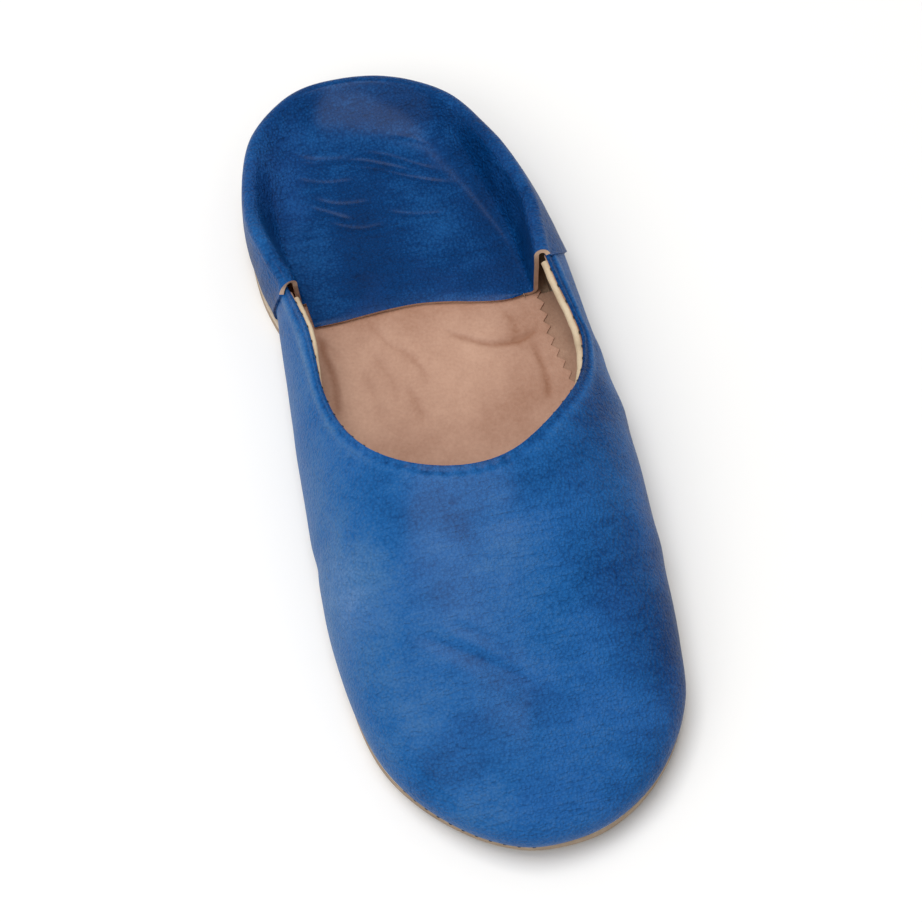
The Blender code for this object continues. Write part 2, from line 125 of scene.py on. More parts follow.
def new_material(name: str) -> tuple[bpy.types.Material, bpy.types.NodeTree, bpy.types.Node]:
    """Make a material with its shader node.

    Args:
        name: Name of the material.

    Returns:
        The material, its node tree and its shader.
    """
    material = bpy.data.materials.new(name)
    material.use_nodes = True
    tree = material.node_tree
    return material, tree, tree.nodes["Principled BSDF"]


def smooth_curve(points: np.ndarray, closed: bool, steps: int = 12) -> np.ndarray:
    """Draw a centripetal curve through points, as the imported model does.

    Args:
        points: Points to pass through, one a row.
        closed: Whether the curve returns to its start.
        steps: Fine points for each span.

    Returns:
        Fine points of the curve.
    """
    points = np.asarray(points, dtype=float)
    if closed:
        padded = np.vstack([points[-1:], points, points[:2]])
    else:
        padded = np.vstack([2.0 * points[0] - points[1], points, 2.0 * points[-1] - points[-2]])
    fine = []
    for p0, p1, p2, p3 in zip(padded, padded[1:], padded[2:], padded[3:]):
        t1 = math.sqrt(np.linalg.norm((p1 - p0)[:2]))
        t2 = t1 + math.sqrt(np.linalg.norm((p2 - p1)[:2]))
        t3 = t2 + math.sqrt(np.linalg.norm((p3 - p2)[:2]))
        t = np.linspace(t1, t2, steps, endpoint=False)[:, None]
        a1 = ((t1 - t) * p0 + t * p1) / t1
        a2 = ((t2 - t) * p1 + (t - t1) * p2) / (t2 - t1)
        a3 = ((t3 - t) * p2 + (t - t2) * p3) / (t3 - t2)
        b1 = ((t2 - t) * a1 + t * a2) / t2
        b2 = ((t3 - t) * a2 + (t - t1) * a3) / (t3 - t1)
        fine.append(((t2 - t) * b1 + (t - t1) * b2) / (t2 - t1))
    if not closed:
        fine.append(points[-1:])
    return np.vstack(fine)


def unit(vectors: np.ndarray) -> np.ndarray:
    """Give each vector of the last axis the length one."""
    return vectors / np.maximum(np.linalg.norm(vectors, axis=-1, keepdims=True), 1e-12)


def bell(x: np.ndarray, middle: float, reach: float) -> np.ndarray:
    """Bell curve of height one round a middle."""
    return np.exp(-((x - middle) / reach) ** 2)


def smooth_step(x: np.ndarray) -> np.ndarray:
    """Ease a share from 0 to 1 in and out."""
    return x * x * (3.0 - 2.0 * x)


def run_lengths(points: np.ndarray) -> np.ndarray:
    """Measure the length along a line of points, up to each of them."""
    return np.concatenate([[0.0], np.cumsum(np.linalg.norm(np.diff(points, axis=0), axis=1))])


def resample(points: np.ndarray, shares: np.ndarray) -> np.ndarray:
    """Find the points at the given shares of a line's length.

    Args:
        points: The line's points.
        shares: Shares of its length, 0 to 1.

    Returns:
        One point for each share.
    """
    lengths = run_lengths(points)
    wanted = np.asarray(shares) * lengths[-1]
    return np.stack([np.interp(wanted, lengths, column) for column in points.T], axis=1)


def table_value(stations: list[float], values: list[float], at: np.ndarray) -> np.ndarray:
    """Read a table between its rows on a smooth curve.

    Args:
        stations: Where each row stands.
        values: Value of each row.
        at: Where the value is wanted.

    Returns:
        The value at each wanted place.
    """
    x = np.asarray(stations, dtype=float)
    y = np.asarray(values, dtype=float)
    slopes = np.gradient(y, x)
    row = np.clip(np.searchsorted(x, at) - 1, 0, len(x) - 2)
    span = x[row + 1] - x[row]
    t = np.clip((at - x[row]) / span, 0.0, 1.0)
    start = y[row] * (1 + 2 * t) * (1 - t) ** 2 + slopes[row] * span * t * (1 - t) ** 2
    end = y[row + 1] * t * t * (3 - 2 * t) + slopes[row + 1] * span * t * t * (t - 1)
    return start + end


def sheet_normals(sheet: np.ndarray) -> np.ndarray:
    """Find the outward direction at each point of a sheet of columns and rows."""
    return unit(np.cross(np.gradient(sheet, axis=0), np.gradient(sheet, axis=1)))


def soft_noise(points: np.ndarray, size: float, seed: int) -> np.ndarray:
    """Sum of slow waves in many directions, as the unevenness of worked leather.

    Args:
        points: Points in metres, in the last axis.
        size: Rough size of the unevenness in metres.
        seed: Number that chooses the waves.

    Returns:
        Values of about -1 to 1.
    """
    source = np.random.default_rng(seed)
    total = np.zeros(points.shape[:-1])
    for _ in range(14):
        direction = source.normal(size=3)
        direction /= np.linalg.norm(direction)
        turn = 2.0 * math.pi / (size * source.uniform(0.75, 1.9))
        total += np.sin(points @ direction * turn + source.uniform(0.0, 2.0 * math.pi))
    return total / 5.0


def worked_surface(points: np.ndarray, swell_mm: float, size: float, seed: int) -> np.ndarray:
    """Unevenness of lasted leather in metres, a slow swell with a finer one in it.

    Args:
        points: Points in metres, in the last axis.
        swell_mm: Height of the slow swell in millimetres.
        size: Rough size of the slow swell in metres.
        seed: Number that chooses the waves.

    Returns:
        Height at each point.
    """
    fine_swell_mm, fine_size = 0.035, 0.009
    return MM * (swell_mm * soft_noise(points, size, seed)
                 + fine_swell_mm * soft_noise(points, fine_size, seed + 1))


def held_at_foot(rows: int, under_rows: int) -> np.ndarray:
    """Share of a push that each row takes, none where the leather is sewn in."""
    return np.clip(np.arange(rows) / under_rows, 0.0, 1.0) ** 2


@dataclass(frozen=True)
class Crease:
    """Soft trough or ridge along a line seen from above, in millimetres.

    Depth is positive for a trough, and width is the distance at which it has faded.
    """

    line: tuple[tuple[float, float], ...]
    depth: float
    width: float

    def press(self, points: np.ndarray) -> np.ndarray:
        """Depth in metres that the crease takes from each point."""
        fine = smooth_curve(np.array(self.line), closed=False, steps=6) * MM
        share = run_lengths(fine)
        share = share / share[-1]
        best = np.full(points.shape[:-1], 1e9)
        along = np.zeros(points.shape[:-1])
        for a, b, s0, s1 in zip(fine, fine[1:], share, share[1:]):
            run = b - a
            t = np.clip(((points[..., :2] - a) @ run) / (run @ run), 0.0, 1.0)
            gap = np.linalg.norm(points[..., :2] - a - t[..., None] * run, axis=-1)
            closer = gap < best
            best = np.where(closer, gap, best)
            along = np.where(closer, s0 + (s1 - s0) * t, along)
        fade = smooth_step(np.clip(4.0 * np.minimum(along, 1.0 - along), 0.0, 1.0))
        return self.depth * MM * fade * np.exp(-2.0 * (best / (self.width * MM)) ** 2)


@dataclass(frozen=True)
class Patch:
    """Soft patch that makes the colour lighter or darker, seen from above, in millimetres; some are
    dye, some painted light and painted shade.
    """

    x: float
    y: float
    reach_x: float
    reach_y: float
    amount: float
    turn: float = 0.0

    def tone(self, points: np.ndarray) -> np.ndarray:
        """Change of tone at each point."""
        c, s = math.cos(math.radians(self.turn)), math.sin(math.radians(self.turn))
        dx = points[..., 0] / MM - self.x
        dy = points[..., 1] / MM - self.y
        u = (c * dx + s * dy) / self.reach_x
        v = (-s * dx + c * dy) / self.reach_y
        return self.amount * np.exp(-(u * u + v * v))


@dataclass(frozen=True)
class WearAndPaintedLight:
    """Creases of one piece, and its patches of dye and of painted light and shade."""

    creases: tuple[Crease, ...]
    patches: tuple[Patch, ...]

    def pressed(self, points: np.ndarray) -> np.ndarray:
        """Depth in metres that all the creases take from each point."""
        return sum(crease.press(points) for crease in self.creases)

    def tone(self, points: np.ndarray) -> np.ndarray:
        """Change of tone that all the patches make at each point."""
        return sum(patch.tone(points) for patch in self.patches)


@dataclass
class SlipperForm:
    """The form over which the slipper is drawn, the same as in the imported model, in metres."""

    sole_length: float = 0.276
    sole_width: float = 0.1024
    sole_thickness: float = 0.0045
    toe_spring: float = 0.0026
    spring_start: float = 0.80
    layer_gap: float = 0.0003
    insole_thickness: float = 0.0022
    insole_clearance: float = 0.0007
    sock_thickness: float = 0.0014
    sock_margin: float = 0.0007
    wall: float = 0.0018
    feather_inset: float = 0.0013
    bulge_width: float = 0.005
    widest_rise: float = 0.0057
    instep_height: float = 0.0495
    vamp_rounding: float = 0.050
    section_power: float = 2.2
    heel_fold_rise: float = 0.0050
    fold_width: float = 0.026
    roll_radius: float = 0.0027
    seam_foot_run: float = 0.0006
    seam_foot_ease: float = 0.0012
    seam_lap: float = 0.0010
    lap_fade: float = 0.016
    seam_reach: float = 0.0008
    arch_lean: float = 0.0010
    lateral_arch: float = 0.0035
    lateral_drop: float = 0.0020
    lateral_stand: float = 0.0027
    medial_slant: float = 0.0125
    lateral_slant: float = 0.0040
    wing_tuck: float = 0.0030
    tuck_columns: int = 9
    least_tuck: float = 0.06
    fine_columns: int = 260
    # along, lateral, medial, lateral bulge, medial bulge, all shares
    sections: tuple = (
        (0.000, 0.215, -0.050, 0.36, 0.32), (0.016, 0.315, 0.085, 0.30, 0.28),
        (0.055, 0.420, 0.230, 0.24, 0.24), (0.115, 0.480, 0.320, 0.18, 0.24),
        (0.180, 0.505, 0.380, 0.20, 0.26), (0.240, 0.502, 0.412, -0.05, 0.48),
        (0.278, 0.482, 0.418, -0.20, 0.60), (0.310, 0.457, 0.420, 0.45, 0.72),
        (0.410, 0.455, 0.425, 0.90, 1.00), (0.515, 0.475, 0.453, 0.90, 0.95),
        (0.625, 0.505, 0.480, 0.58, 0.50), (0.720, 0.518, 0.484, 0.38, 0.25),
        (0.795, 0.510, 0.475, 0.16, 0.18), (0.855, 0.470, 0.453, 0.14, 0.18),
        (0.903, 0.394, 0.396, 0.30, 0.20), (0.944, 0.290, 0.304, 0.45, 0.30),
        (0.972, 0.183, 0.200, 0.52, 0.32), (0.987, 0.075, 0.088, 0.54, 0.40),
    )
    # along, height of the crown as a share of its rise to the instep
    crowns: tuple = (
        (0.00, 1.00), (0.30, 1.00), (0.45, 1.00), (0.58, 1.00), (0.66, 0.91), (0.75, 0.75),
        (0.83, 0.60), (0.90, 0.47), (0.95, 0.40), (1.00, 0.36),
    )
    # across and along, from the lateral seam round to the medial seam
    throat_points: tuple = (
        (-0.429, 0.290), (-0.415, 0.320), (-0.403, 0.350), (-0.401, 0.390), (-0.403, 0.430),
        (-0.385, 0.475), (-0.354, 0.508), (-0.310, 0.535), (-0.250, 0.558), (-0.173, 0.576),
        (-0.090, 0.587), (-0.010, 0.591), (0.065, 0.589), (0.130, 0.581), (0.195, 0.566),
        (0.262, 0.545), (0.325, 0.520), (0.368, 0.499), (0.400, 0.474), (0.419, 0.446),
        (0.424, 0.418), (0.414, 0.390), (0.393, 0.358), (0.379, 0.322),
    )
    # around, rise, shoulder, foot, ease of the folded back
    folds: tuple = (
        (0.08, 0.86, 0.17, 0.50, 0.12), (0.17, 0.66, 0.09, 0.50, 0.22),
        (0.30, 0.36, 0.07, 0.56, 0.32), (0.44, 0.10, 0.03, 0.60, 0.40),
        (0.56, 0.00, 0.01, 0.62, 0.42), (0.70, 0.14, 0.01, 0.58, 0.36),
        (0.82, 0.44, 0.02, 0.44, 0.25), (0.92, 0.76, 0.07, 0.42, 0.12),
    )
    # across and along of the flap's free edge, from the medial to the lateral seam
    flap_points: tuple = (
        (0.298, 0.3235), (0.270, 0.3250), (0.230, 0.3250), (0.142, 0.319), (0.067, 0.312),
        (-0.029, 0.306), (-0.110, 0.305), (-0.194, 0.306), (-0.280, 0.308), (-0.366, 0.308),
    )
    shift: np.ndarray = field(init=False)
    seam_ends: list = field(default_factory=list)

    def __post_init__(self) -> None:
        """Work out the levels, the outline and the two edges."""
        self.sole_top = self.sole_thickness
        self.feather_level = self.sole_top + self.layer_gap
        self.widest_level = self.feather_level + self.widest_rise
        self.insole_top = self.sole_top + self.layer_gap + self.insole_thickness
        self.sock_top = self.insole_top + self.layer_gap + self.sock_thickness
        self.flap_level = self.sock_top + self.layer_gap + self.wall
        self.insole_inset = self.feather_inset + self.wall + self.insole_clearance
        self.sock_inset = self.insole_inset + self.sock_margin
        self._draw_outline()
        self.throat = smooth_curve(self._placed(self.throat_points), closed=False)
        self.flap_edge = smooth_curve(self._placed(self.flap_points), closed=False)
        self.lateral_seam = self._nearest_share(self.throat[0])
        self.medial_seam = self._nearest_share(self.throat[-1])
        self.way_round = self.medial_seam + 1.0 - self.lateral_seam
        low, high = (np.array(corner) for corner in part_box("outsole"))
        own = 0.5 * (self.edge.min(axis=0) + self.edge.max(axis=0))
        self.shift = np.append(0.5 * (low + high)[:2] - own, 0.0)

    def _placed(self, points: tuple) -> np.ndarray:
        """Turn shares across and along to metres."""
        table = np.array(points)
        return np.column_stack([table[:, 0] * self.sole_width,
                                (0.5 - table[:, 1]) * self.sole_length])

    def _draw_outline(self) -> None:
        """Draw the sole's edge and the upper's widest line."""
        rows = np.array(self.sections)
        medial = np.column_stack([self._placed(rows[:, [2, 0]]), rows[:, 4]])
        lateral = np.column_stack([self._placed(rows[:, [1, 0]] * (-1, 1)), rows[:, 3]])
        fine = smooth_curve(np.vstack([medial, lateral[::-1]]), closed=True)
        fine = np.roll(fine, -int(np.argmax(fine[:, 1])), axis=0)
        loop = fine[:, :2]
        tangent = unit(np.roll(loop, -1, axis=0) - np.roll(loop, 1, axis=0))
        outward = np.stack([-tangent[:, 1], tangent[:, 0]], axis=1)
        self.edge = np.vstack([loop, loop[:1]])
        self.outward = np.vstack([outward, outward[:1]])
        bulge = np.append(fine[:, 2], fine[0, 2]) * self.bulge_width
        self.widest = self.edge + self.outward * bulge[:, None]
        lengths = run_lengths(self.widest)
        self.round_share = lengths / lengths[-1]
        self.girth = lengths[-1]

    def _nearest_share(self, point: np.ndarray) -> float:
        """Share of the way round of the widest line's point nearest to a point."""
        gaps = np.linalg.norm(self.widest - point, axis=1)
        return float(self.round_share[int(np.argmin(gaps[:-1]))])

    def station(self, share: float) -> list[np.ndarray]:
        """Edge point, widest point and outward direction at a share of the way round."""
        at = share % 1.0
        edge, widest, outward = (np.array([np.interp(at, self.round_share, c) for c in line.T])
                                 for line in (self.edge, self.widest, self.outward))
        return [edge, widest, unit(outward)]

    def inside(self, points: np.ndarray) -> np.ndarray:
        """How far points seen from above lie inside the widest line."""
        start = self.widest[:-1]
        run = self.widest[1:] - start
        offset = points[:, None, :] - start[None, :, :]
        t = np.clip((offset * run).sum(axis=2) / (run ** 2).sum(axis=1), 0.0, 1.0)
        gap = offset - t[:, :, None] * run[None, :, :]
        return np.sqrt((gap ** 2).sum(axis=2).min(axis=1))

    def halves(self, inset: float, shares: np.ndarray) -> tuple[np.ndarray, np.ndarray]:
        """Medial and lateral half of the sole's edge, moved inward, heel to toe."""
        line = self.edge - self.outward * inset
        toe = int(np.argmin(line[:, 1]))
        return resample(line[:toe + 1], shares), resample(line[toe:][::-1], shares)

    def along_of(self, y: np.ndarray) -> np.ndarray:
        """Share of the sole's length at y, 0 at the heel and 1 at the toe."""
        return 0.5 - y / self.sole_length

    def toe_lift(self, y: np.ndarray) -> np.ndarray:
        """Height that the toe spring adds at y."""
        past = (self.along_of(y) - self.spring_start) / (1.0 - self.spring_start)
        return self.toe_spring * np.clip(past, 0.0, None) ** 2

    def raised(self, plan: np.ndarray, heights: np.ndarray) -> np.ndarray:
        """Points in space from points seen from above, with the toe spring added."""
        return np.column_stack([plan, heights + self.toe_lift(plan[:, 1])])

    def section_rise(self, inset: np.ndarray) -> np.ndarray:
        """Share of the crown that the wall has reached at an inset from its widest line."""
        flat = 1.0 - np.clip(np.asarray(inset) / self.vamp_rounding, 0.0, 1.0)
        return (1.0 - flat ** self.section_power) ** (1.0 / self.section_power)

    def vamp_heights(self, plan: np.ndarray) -> np.ndarray:
        """Heights of the vamp over points seen from above."""
        stations, values = zip(*self.crowns)
        share = table_value(stations, values, self.along_of(plan[:, 1]))
        rise = share * (self.instep_height - self.widest_level)
        return self.widest_level + rise * self.section_rise(self.inside(plan))

    def under(self, station: list[np.ndarray], rows: int, lap: float) -> tuple[list, list]:
        """The turned-in part of the wall, from the feather line up to the widest line.

        Args:
            station: Edge point, widest point and outward direction.
            rows: Number of rows.
            lap: How far the wall stands outside the vamp.

        Returns:
            Points seen from above, and their heights.
        """
        edge, widest, outward = station
        feather = edge - outward * self.feather_inset
        angles = 0.5 * math.pi * np.arange(rows) / rows
        plan = [feather + (widest + outward * lap - feather) * math.sin(a) for a in angles]
        heights = [self.feather_level + self.widest_rise * (1.0 - math.cos(a)) for a in angles]
        return plan, heights

    def vamp_share(self, t: float) -> float:
        """Share of the way round at which a column of the vamp starts, t from 0 to 1."""
        span = self.medial_seam - self.lateral_seam
        even = run_lengths(self.throat)[-1] / abs(span * self.girth)
        return self.lateral_seam + span * (even * t + (1.0 - even) * smooth_step(t))

    def vamp_sheet(self, columns: int, under_rows: int, wall_rows: int) -> np.ndarray:
        """Outer face of the vamp, from the lateral seam round the toe to the medial seam.

        Args:
            columns: Number of columns less one.
            under_rows: Rows below the widest line.
            wall_rows: Rows above it.

        Returns:
            Points by column and row.
        """
        sheet = []
        spread = (np.linspace(0.0, 1.0, 61) ** 2)[:, None]
        rows = self.crowded_up(wall_rows)
        for t in np.linspace(0.0, 1.0, columns + 1):
            station = self.station(self.vamp_share(t))
            top = resample(self.throat, np.array([t]))[0]
            fine = station[1] + (top - station[1]) * spread
            over = resample(self.raised(fine, self.vamp_heights(fine)), rows)
            plan, heights = self.under(station, under_rows, 0.0)
            sheet.append(np.vstack([self.raised(np.array(plan), np.array(heights)), over]))
        return np.array(sheet) + self.shift

    @staticmethod
    def crowded_up(rows: int) -> np.ndarray:
        """Shares of a wall's height that lie closer together towards its top."""
        return 1.0 - (1.0 - np.linspace(0.0, 1.0, rows + 1)) ** 1.25

    def tucked_wing(self, side: Side, under_rows: int, wall_rows: int) -> np.ndarray:
        """End of the vamp's wing that runs back under the quarter, from the seam on.

        Args:
            side: Which wing.
            under_rows: Rows below the widest line.
            wall_rows: Rows above it.

        Returns:
            Points by column and row, the first column next to the seam.
        """
        slant = self.medial_slant if side is Side.MEDIAL else self.lateral_slant
        run = self.way_round * self.girth
        shares = self.crowded_up(wall_rows)
        sheet = []
        for back in np.linspace(0.0, slant + 0.6 * self.wing_tuck, self.tuck_columns + 1)[1:]:
            top = min(1.0, 1.0 - (back - self.wing_tuck) / slant)
            at = back / run if side is Side.MEDIAL else 1.0 - back / run
            station, section = self.fold_at(at, wall_rows, 1, 1)
            wall = resample(section[:wall_rows + 1], shares * max(self.least_tuck, top))
            plan, heights = self.under(station, under_rows, 0.0)
            plan += [station[1] - station[2] * inset for inset in wall[:, 0]]
            heights += list(wall[:, 1])
            sheet.append(self.raised(np.array(plan), np.array(heights)))
        return np.array(sheet) + self.shift

    def fold_section(self, shoulder: float, crest: float, foot_inset: float, ease: float,
                     radius: float, wall_rows: int, roll_rows: int,
                     fall_rows: int) -> np.ndarray:
        """Section of the folded back as inset and height: wall, roll and rounded foot."""
        shoulder_level = crest - radius
        insets = shoulder * np.linspace(0.0, 1.0, 41) ** 2
        rise = self.section_rise(insets) / float(self.section_rise(shoulder))
        heights = self.widest_level + (shoulder_level - self.widest_level) * rise
        wall = resample(np.column_stack([insets, heights]), np.linspace(0.0, 1.0, wall_rows + 1))
        top = np.array([shoulder + radius, shoulder_level])
        foot = np.array([foot_inset, self.flap_level])
        fall = foot - top
        leave = math.atan2(fall[1], fall[0]) + math.acos(radius / np.linalg.norm(fall))
        angles = math.pi + (leave - math.pi) * np.arange(1, roll_rows + 1) / roll_rows
        roll = top + radius * np.column_stack([np.cos(angles), np.sin(angles)])
        drop = foot - roll[-1]
        start = foot - drop * min(1.0, ease / np.linalg.norm(drop))
        end = foot + np.array([ease, 0.0])
        t = np.linspace(0.0, 1.0, 25)[:, None]
        curve = (1 - t) ** 2 * start + 2 * t * (1 - t) * foot + t * t * end
        fallen = resample(np.vstack([roll[-1:], curve]), np.linspace(0.0, 1.0, fall_rows + 1))
        return np.vstack([wall, roll, fallen[1:]])

    def fold_at(self, at: float, wall_rows: int, roll_rows: int,
                fall_rows: int) -> tuple[list[np.ndarray], np.ndarray]:
        """Station and section of the folded back at a share of its way round the heel."""
        if not self.seam_ends:
            for point in (self.throat[-1], self.throat[0]):
                height = float(self.vamp_heights(point[None])[0] + self.toe_lift(point[1]))
                self.seam_ends.append((float(self.inside(point[None])[0]),
                                       height + self.roll_radius))
        ends = self.seam_ends
        heel_crest = self.flap_level + self.heel_fold_rise
        seam_crest = 0.5 * (ends[0][1] + ends[1][1])
        reach = 2.0 * self.roll_radius + self.seam_foot_run
        rows = np.array(self.folds)
        stations = [0.0, *rows[:, 0], 1.0]
        columns = (
            [ends[0][0], *(rows[:, 2] * self.fold_width), ends[1][0]],
            [ends[0][1], *(heel_crest + rows[:, 1] * (seam_crest - heel_crest)),
             ends[1][1] - self.lateral_drop],
            [ends[0][0] + reach, *(rows[:, 3] * self.fold_width), ends[1][0] + reach],
            [self.seam_foot_ease, *(rows[:, 4] * self.fold_width), self.seam_foot_ease],
            [self.roll_radius] * (len(rows) + 1) + [self.lateral_arch],
        )
        kept = min(1.0, max(0.0, at))
        values = [float(table_value(stations, column, kept)) for column in columns]
        station = self.station(self.medial_seam - at * self.way_round)
        return station, self.fold_section(*values, wall_rows, roll_rows, fall_rows)

    def quarter_sheet(self, columns: int, under_rows: int, wall_rows: int, roll_rows: int,
                      fall_rows: int, flap_rows: int) -> np.ndarray:
        """Outer face of the folded back, from the medial seam round the heel.

        Args:
            columns: Number of columns less one.
            under_rows: Rows below the widest line.
            wall_rows: Rows up to the roll.
            roll_rows: Rows of the roll over the crest.
            fall_rows: Rows down to the floor of the slipper.
            flap_rows: Rows of the flap that lies on it.

        Returns:
            Points by column and row.
        """
        run = self.way_round * self.girth
        outer = under_rows + wall_rows + 1
        count = outer + roll_rows + fall_rows + flap_rows
        # How far each row's front edge stands back from the seam, at its two ends
        climb = np.ones(count)
        climb[:under_rows] = 0.0
        climb[under_rows:outer] = np.linspace(0.0, 1.0, wall_rows + 1)
        reach = np.zeros(count)
        reach[:outer] = self.seam_reach
        half = np.linspace(0.0, 1.0, roll_rows + 2)[1:-1]
        reach[outer:outer + roll_rows] = (self.seam_reach * (1.0 - half)
                                          - self.arch_lean * np.sin(math.pi * half))
        stand = climb ** 3
        stand[outer + roll_rows:] = 0.0
        stand[outer + roll_rows:outer + roll_rows + fall_rows] = np.linspace(1.0, 0.0, fall_rows)
        low = (self.medial_slant * (1.0 - climb) - reach) / run
        high = 1.0 - (self.lateral_slant * (1.0 - climb) - reach) / run
        over = 2.0 * self.seam_reach / run
        fine_at = np.linspace(-over, 1.0 + over, self.fine_columns)
        fine = []
        for at in fine_at:
            station, section = self.fold_at(at, wall_rows, roll_rows, fall_rows)
            gap = np.minimum(at - low, high - at) * run
            near = np.clip(1.0 - np.clip(gap, 0.0, None) / self.lap_fade, 0.0, 1.0)
            lap = near * (self.seam_lap + (self.lateral_stand - self.seam_lap) * stand * (at > 0.5))
            plan, heights = self.under(station, under_rows, lap[0])
            for (inset, height), out in zip(section, lap[under_rows:]):
                plan.append(station[1] - station[2] * (inset - out))
                heights.append(height)
            landing = resample(self.flap_edge, np.array([min(1.0, max(0.0, at))]))[0]
            foot = plan[-1]
            for row in range(1, flap_rows + 1):
                plan.append(foot + (landing - foot) * row / flap_rows)
                heights.append(self.flap_level)
            fine.append(self.raised(np.array(plan), np.array(heights)))
        fine = np.array(fine)
        u = np.linspace(0.0, 1.0, columns + 1)
        even = 0.8 * u + 0.2 * (0.5 - 0.5 * np.cos(math.pi * u))
        sheet = np.empty((columns + 1, count, 3))
        for row in range(count):
            wanted = low[row] + (high[row] - low[row]) * even
            for axis in range(3):
                sheet[:, row, axis] = np.interp(wanted, fine_at, fine[:, row, axis])
        return sheet + self.shift


def deselect() -> None:
    """Leave every object unselected, in object mode."""
    if bpy.context.object and bpy.context.object.mode != "OBJECT":
        bpy.ops.object.mode_set(mode="OBJECT")
    bpy.ops.object.select_all(action="DESELECT")


@contextmanager
def editing() -> Iterator[None]:
    """Edit the active object with all of it selected, then go back to object mode."""
    bpy.ops.object.mode_set(mode="EDIT")
    bpy.ops.mesh.select_all(action="SELECT")
    yield
    bpy.ops.object.mode_set(mode="OBJECT")


def laid_grid(name: str, sheet: np.ndarray, materials: list[bpy.types.Material],
              closed_rows: bool = False) -> bpy.types.Object:
    """Add a grid and lay its points on a sheet of columns and rows.

    Args:
        name: Name of the piece.
        sheet: Points by column and row.
        materials: Materials of the piece, in the order of its slots.
        closed_rows: Whether the last row meets the first.

    Returns:
        The new object.
    """
    columns, rows = sheet.shape[:2]
    deselect()
    bpy.ops.mesh.primitive_grid_add(x_subdivisions=columns - 1, y_subdivisions=rows - 1,
                                    size=1.0, location=(0.0, 0.0, 0.0))
    piece = bpy.context.object
    piece.name = name
    piece.data.name = name
    piece.data.vertices.foreach_set("co", sheet.transpose(1, 0, 2).ravel())
    piece.data.update()
    for material in materials:
        piece.data.materials.append(material)
    if closed_rows:
        merge_doubles()
    return piece


def merge_doubles() -> None:
    """Merge points of the active piece that lie on each other."""
    with editing():
        bpy.ops.mesh.remove_doubles(threshold=0.000002)


def close_ends() -> None:
    """Fill the open loops of the active tube and point its faces outwards."""
    with editing():
        bpy.ops.mesh.select_mode(type="EDGE")
        bpy.ops.mesh.select_all(action="DESELECT")
        bpy.ops.mesh.select_non_manifold()
        bpy.ops.mesh.edge_face_add()
        bpy.ops.mesh.select_all(action="SELECT")
        bpy.ops.mesh.normals_make_consistent(inside=False)
        bpy.ops.mesh.select_mode(type="VERT")


def add_values(piece: bpy.types.Object, name: str, values: np.ndarray) -> None:
    """Store a value for each point of a fresh grid.

    Args:
        piece: The grid, before its modifiers.
        name: Name of the attribute.
        values: Value by column and row.
    """
    kept = piece.data.attributes.new(name, "FLOAT", "POINT")
    kept.data.foreach_set("value", values.T.astype(np.float32).ravel())


def thicken(piece: bpy.types.Object, thickness: float, inside: int = 0, rim: int = 0) -> None:
    """Give a sheet its thickness, grown inward from its outer face.

    Args:
        piece: The sheet.
        thickness: Thickness in metres.
        inside: Material offset of the inner face.
        rim: Material offset of the cut edge.
    """
    wall = piece.modifiers.new("thickness", "SOLIDIFY")
    wall.thickness = thickness
    wall.material_offset = inside
    wall.material_offset_rim = rim
    apply_modifier(piece, wall)


def round_edges(piece: bpy.types.Object, width: float) -> None:
    """Round the sharp edges of a piece, of a width in metres."""
    bevel = piece.modifiers.new("rounded edge", "BEVEL")
    bevel.width = width
    bevel.segments = 3
    bevel.limit_method = "ANGLE"
    bevel.angle_limit = math.radians(55.0)
    apply_modifier(piece, bevel)


def pick(piece: bpy.types.Object) -> None:
    """Select one piece alone and make it the active one."""
    deselect()
    piece.select_set(True)
    bpy.context.view_layer.objects.active = piece


def apply_modifier(piece: bpy.types.Object, modifier: bpy.types.Modifier) -> None:
    """Apply one modifier of a piece."""
    pick(piece)
    bpy.ops.object.modifier_apply(modifier=modifier.name)


def shade(piece: bpy.types.Object) -> None:
    """Shade a piece smooth but for its sharp edges."""
    pick(piece)
    bpy.ops.object.shade_smooth_by_angle(angle=math.radians(60.0))


def settle(piece: bpy.types.Object, slot: str, *nodes: str) -> None:
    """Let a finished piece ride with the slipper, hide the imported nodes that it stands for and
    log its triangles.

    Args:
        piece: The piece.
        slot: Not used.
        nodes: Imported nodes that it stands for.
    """
    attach(piece, "root")
    if nodes:
        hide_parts(*nodes)
    faces = sum(len(p.vertices) - 2 for p in piece.data.polygons)
    LOG.info("%s: %d triangles", piece.name, faces)


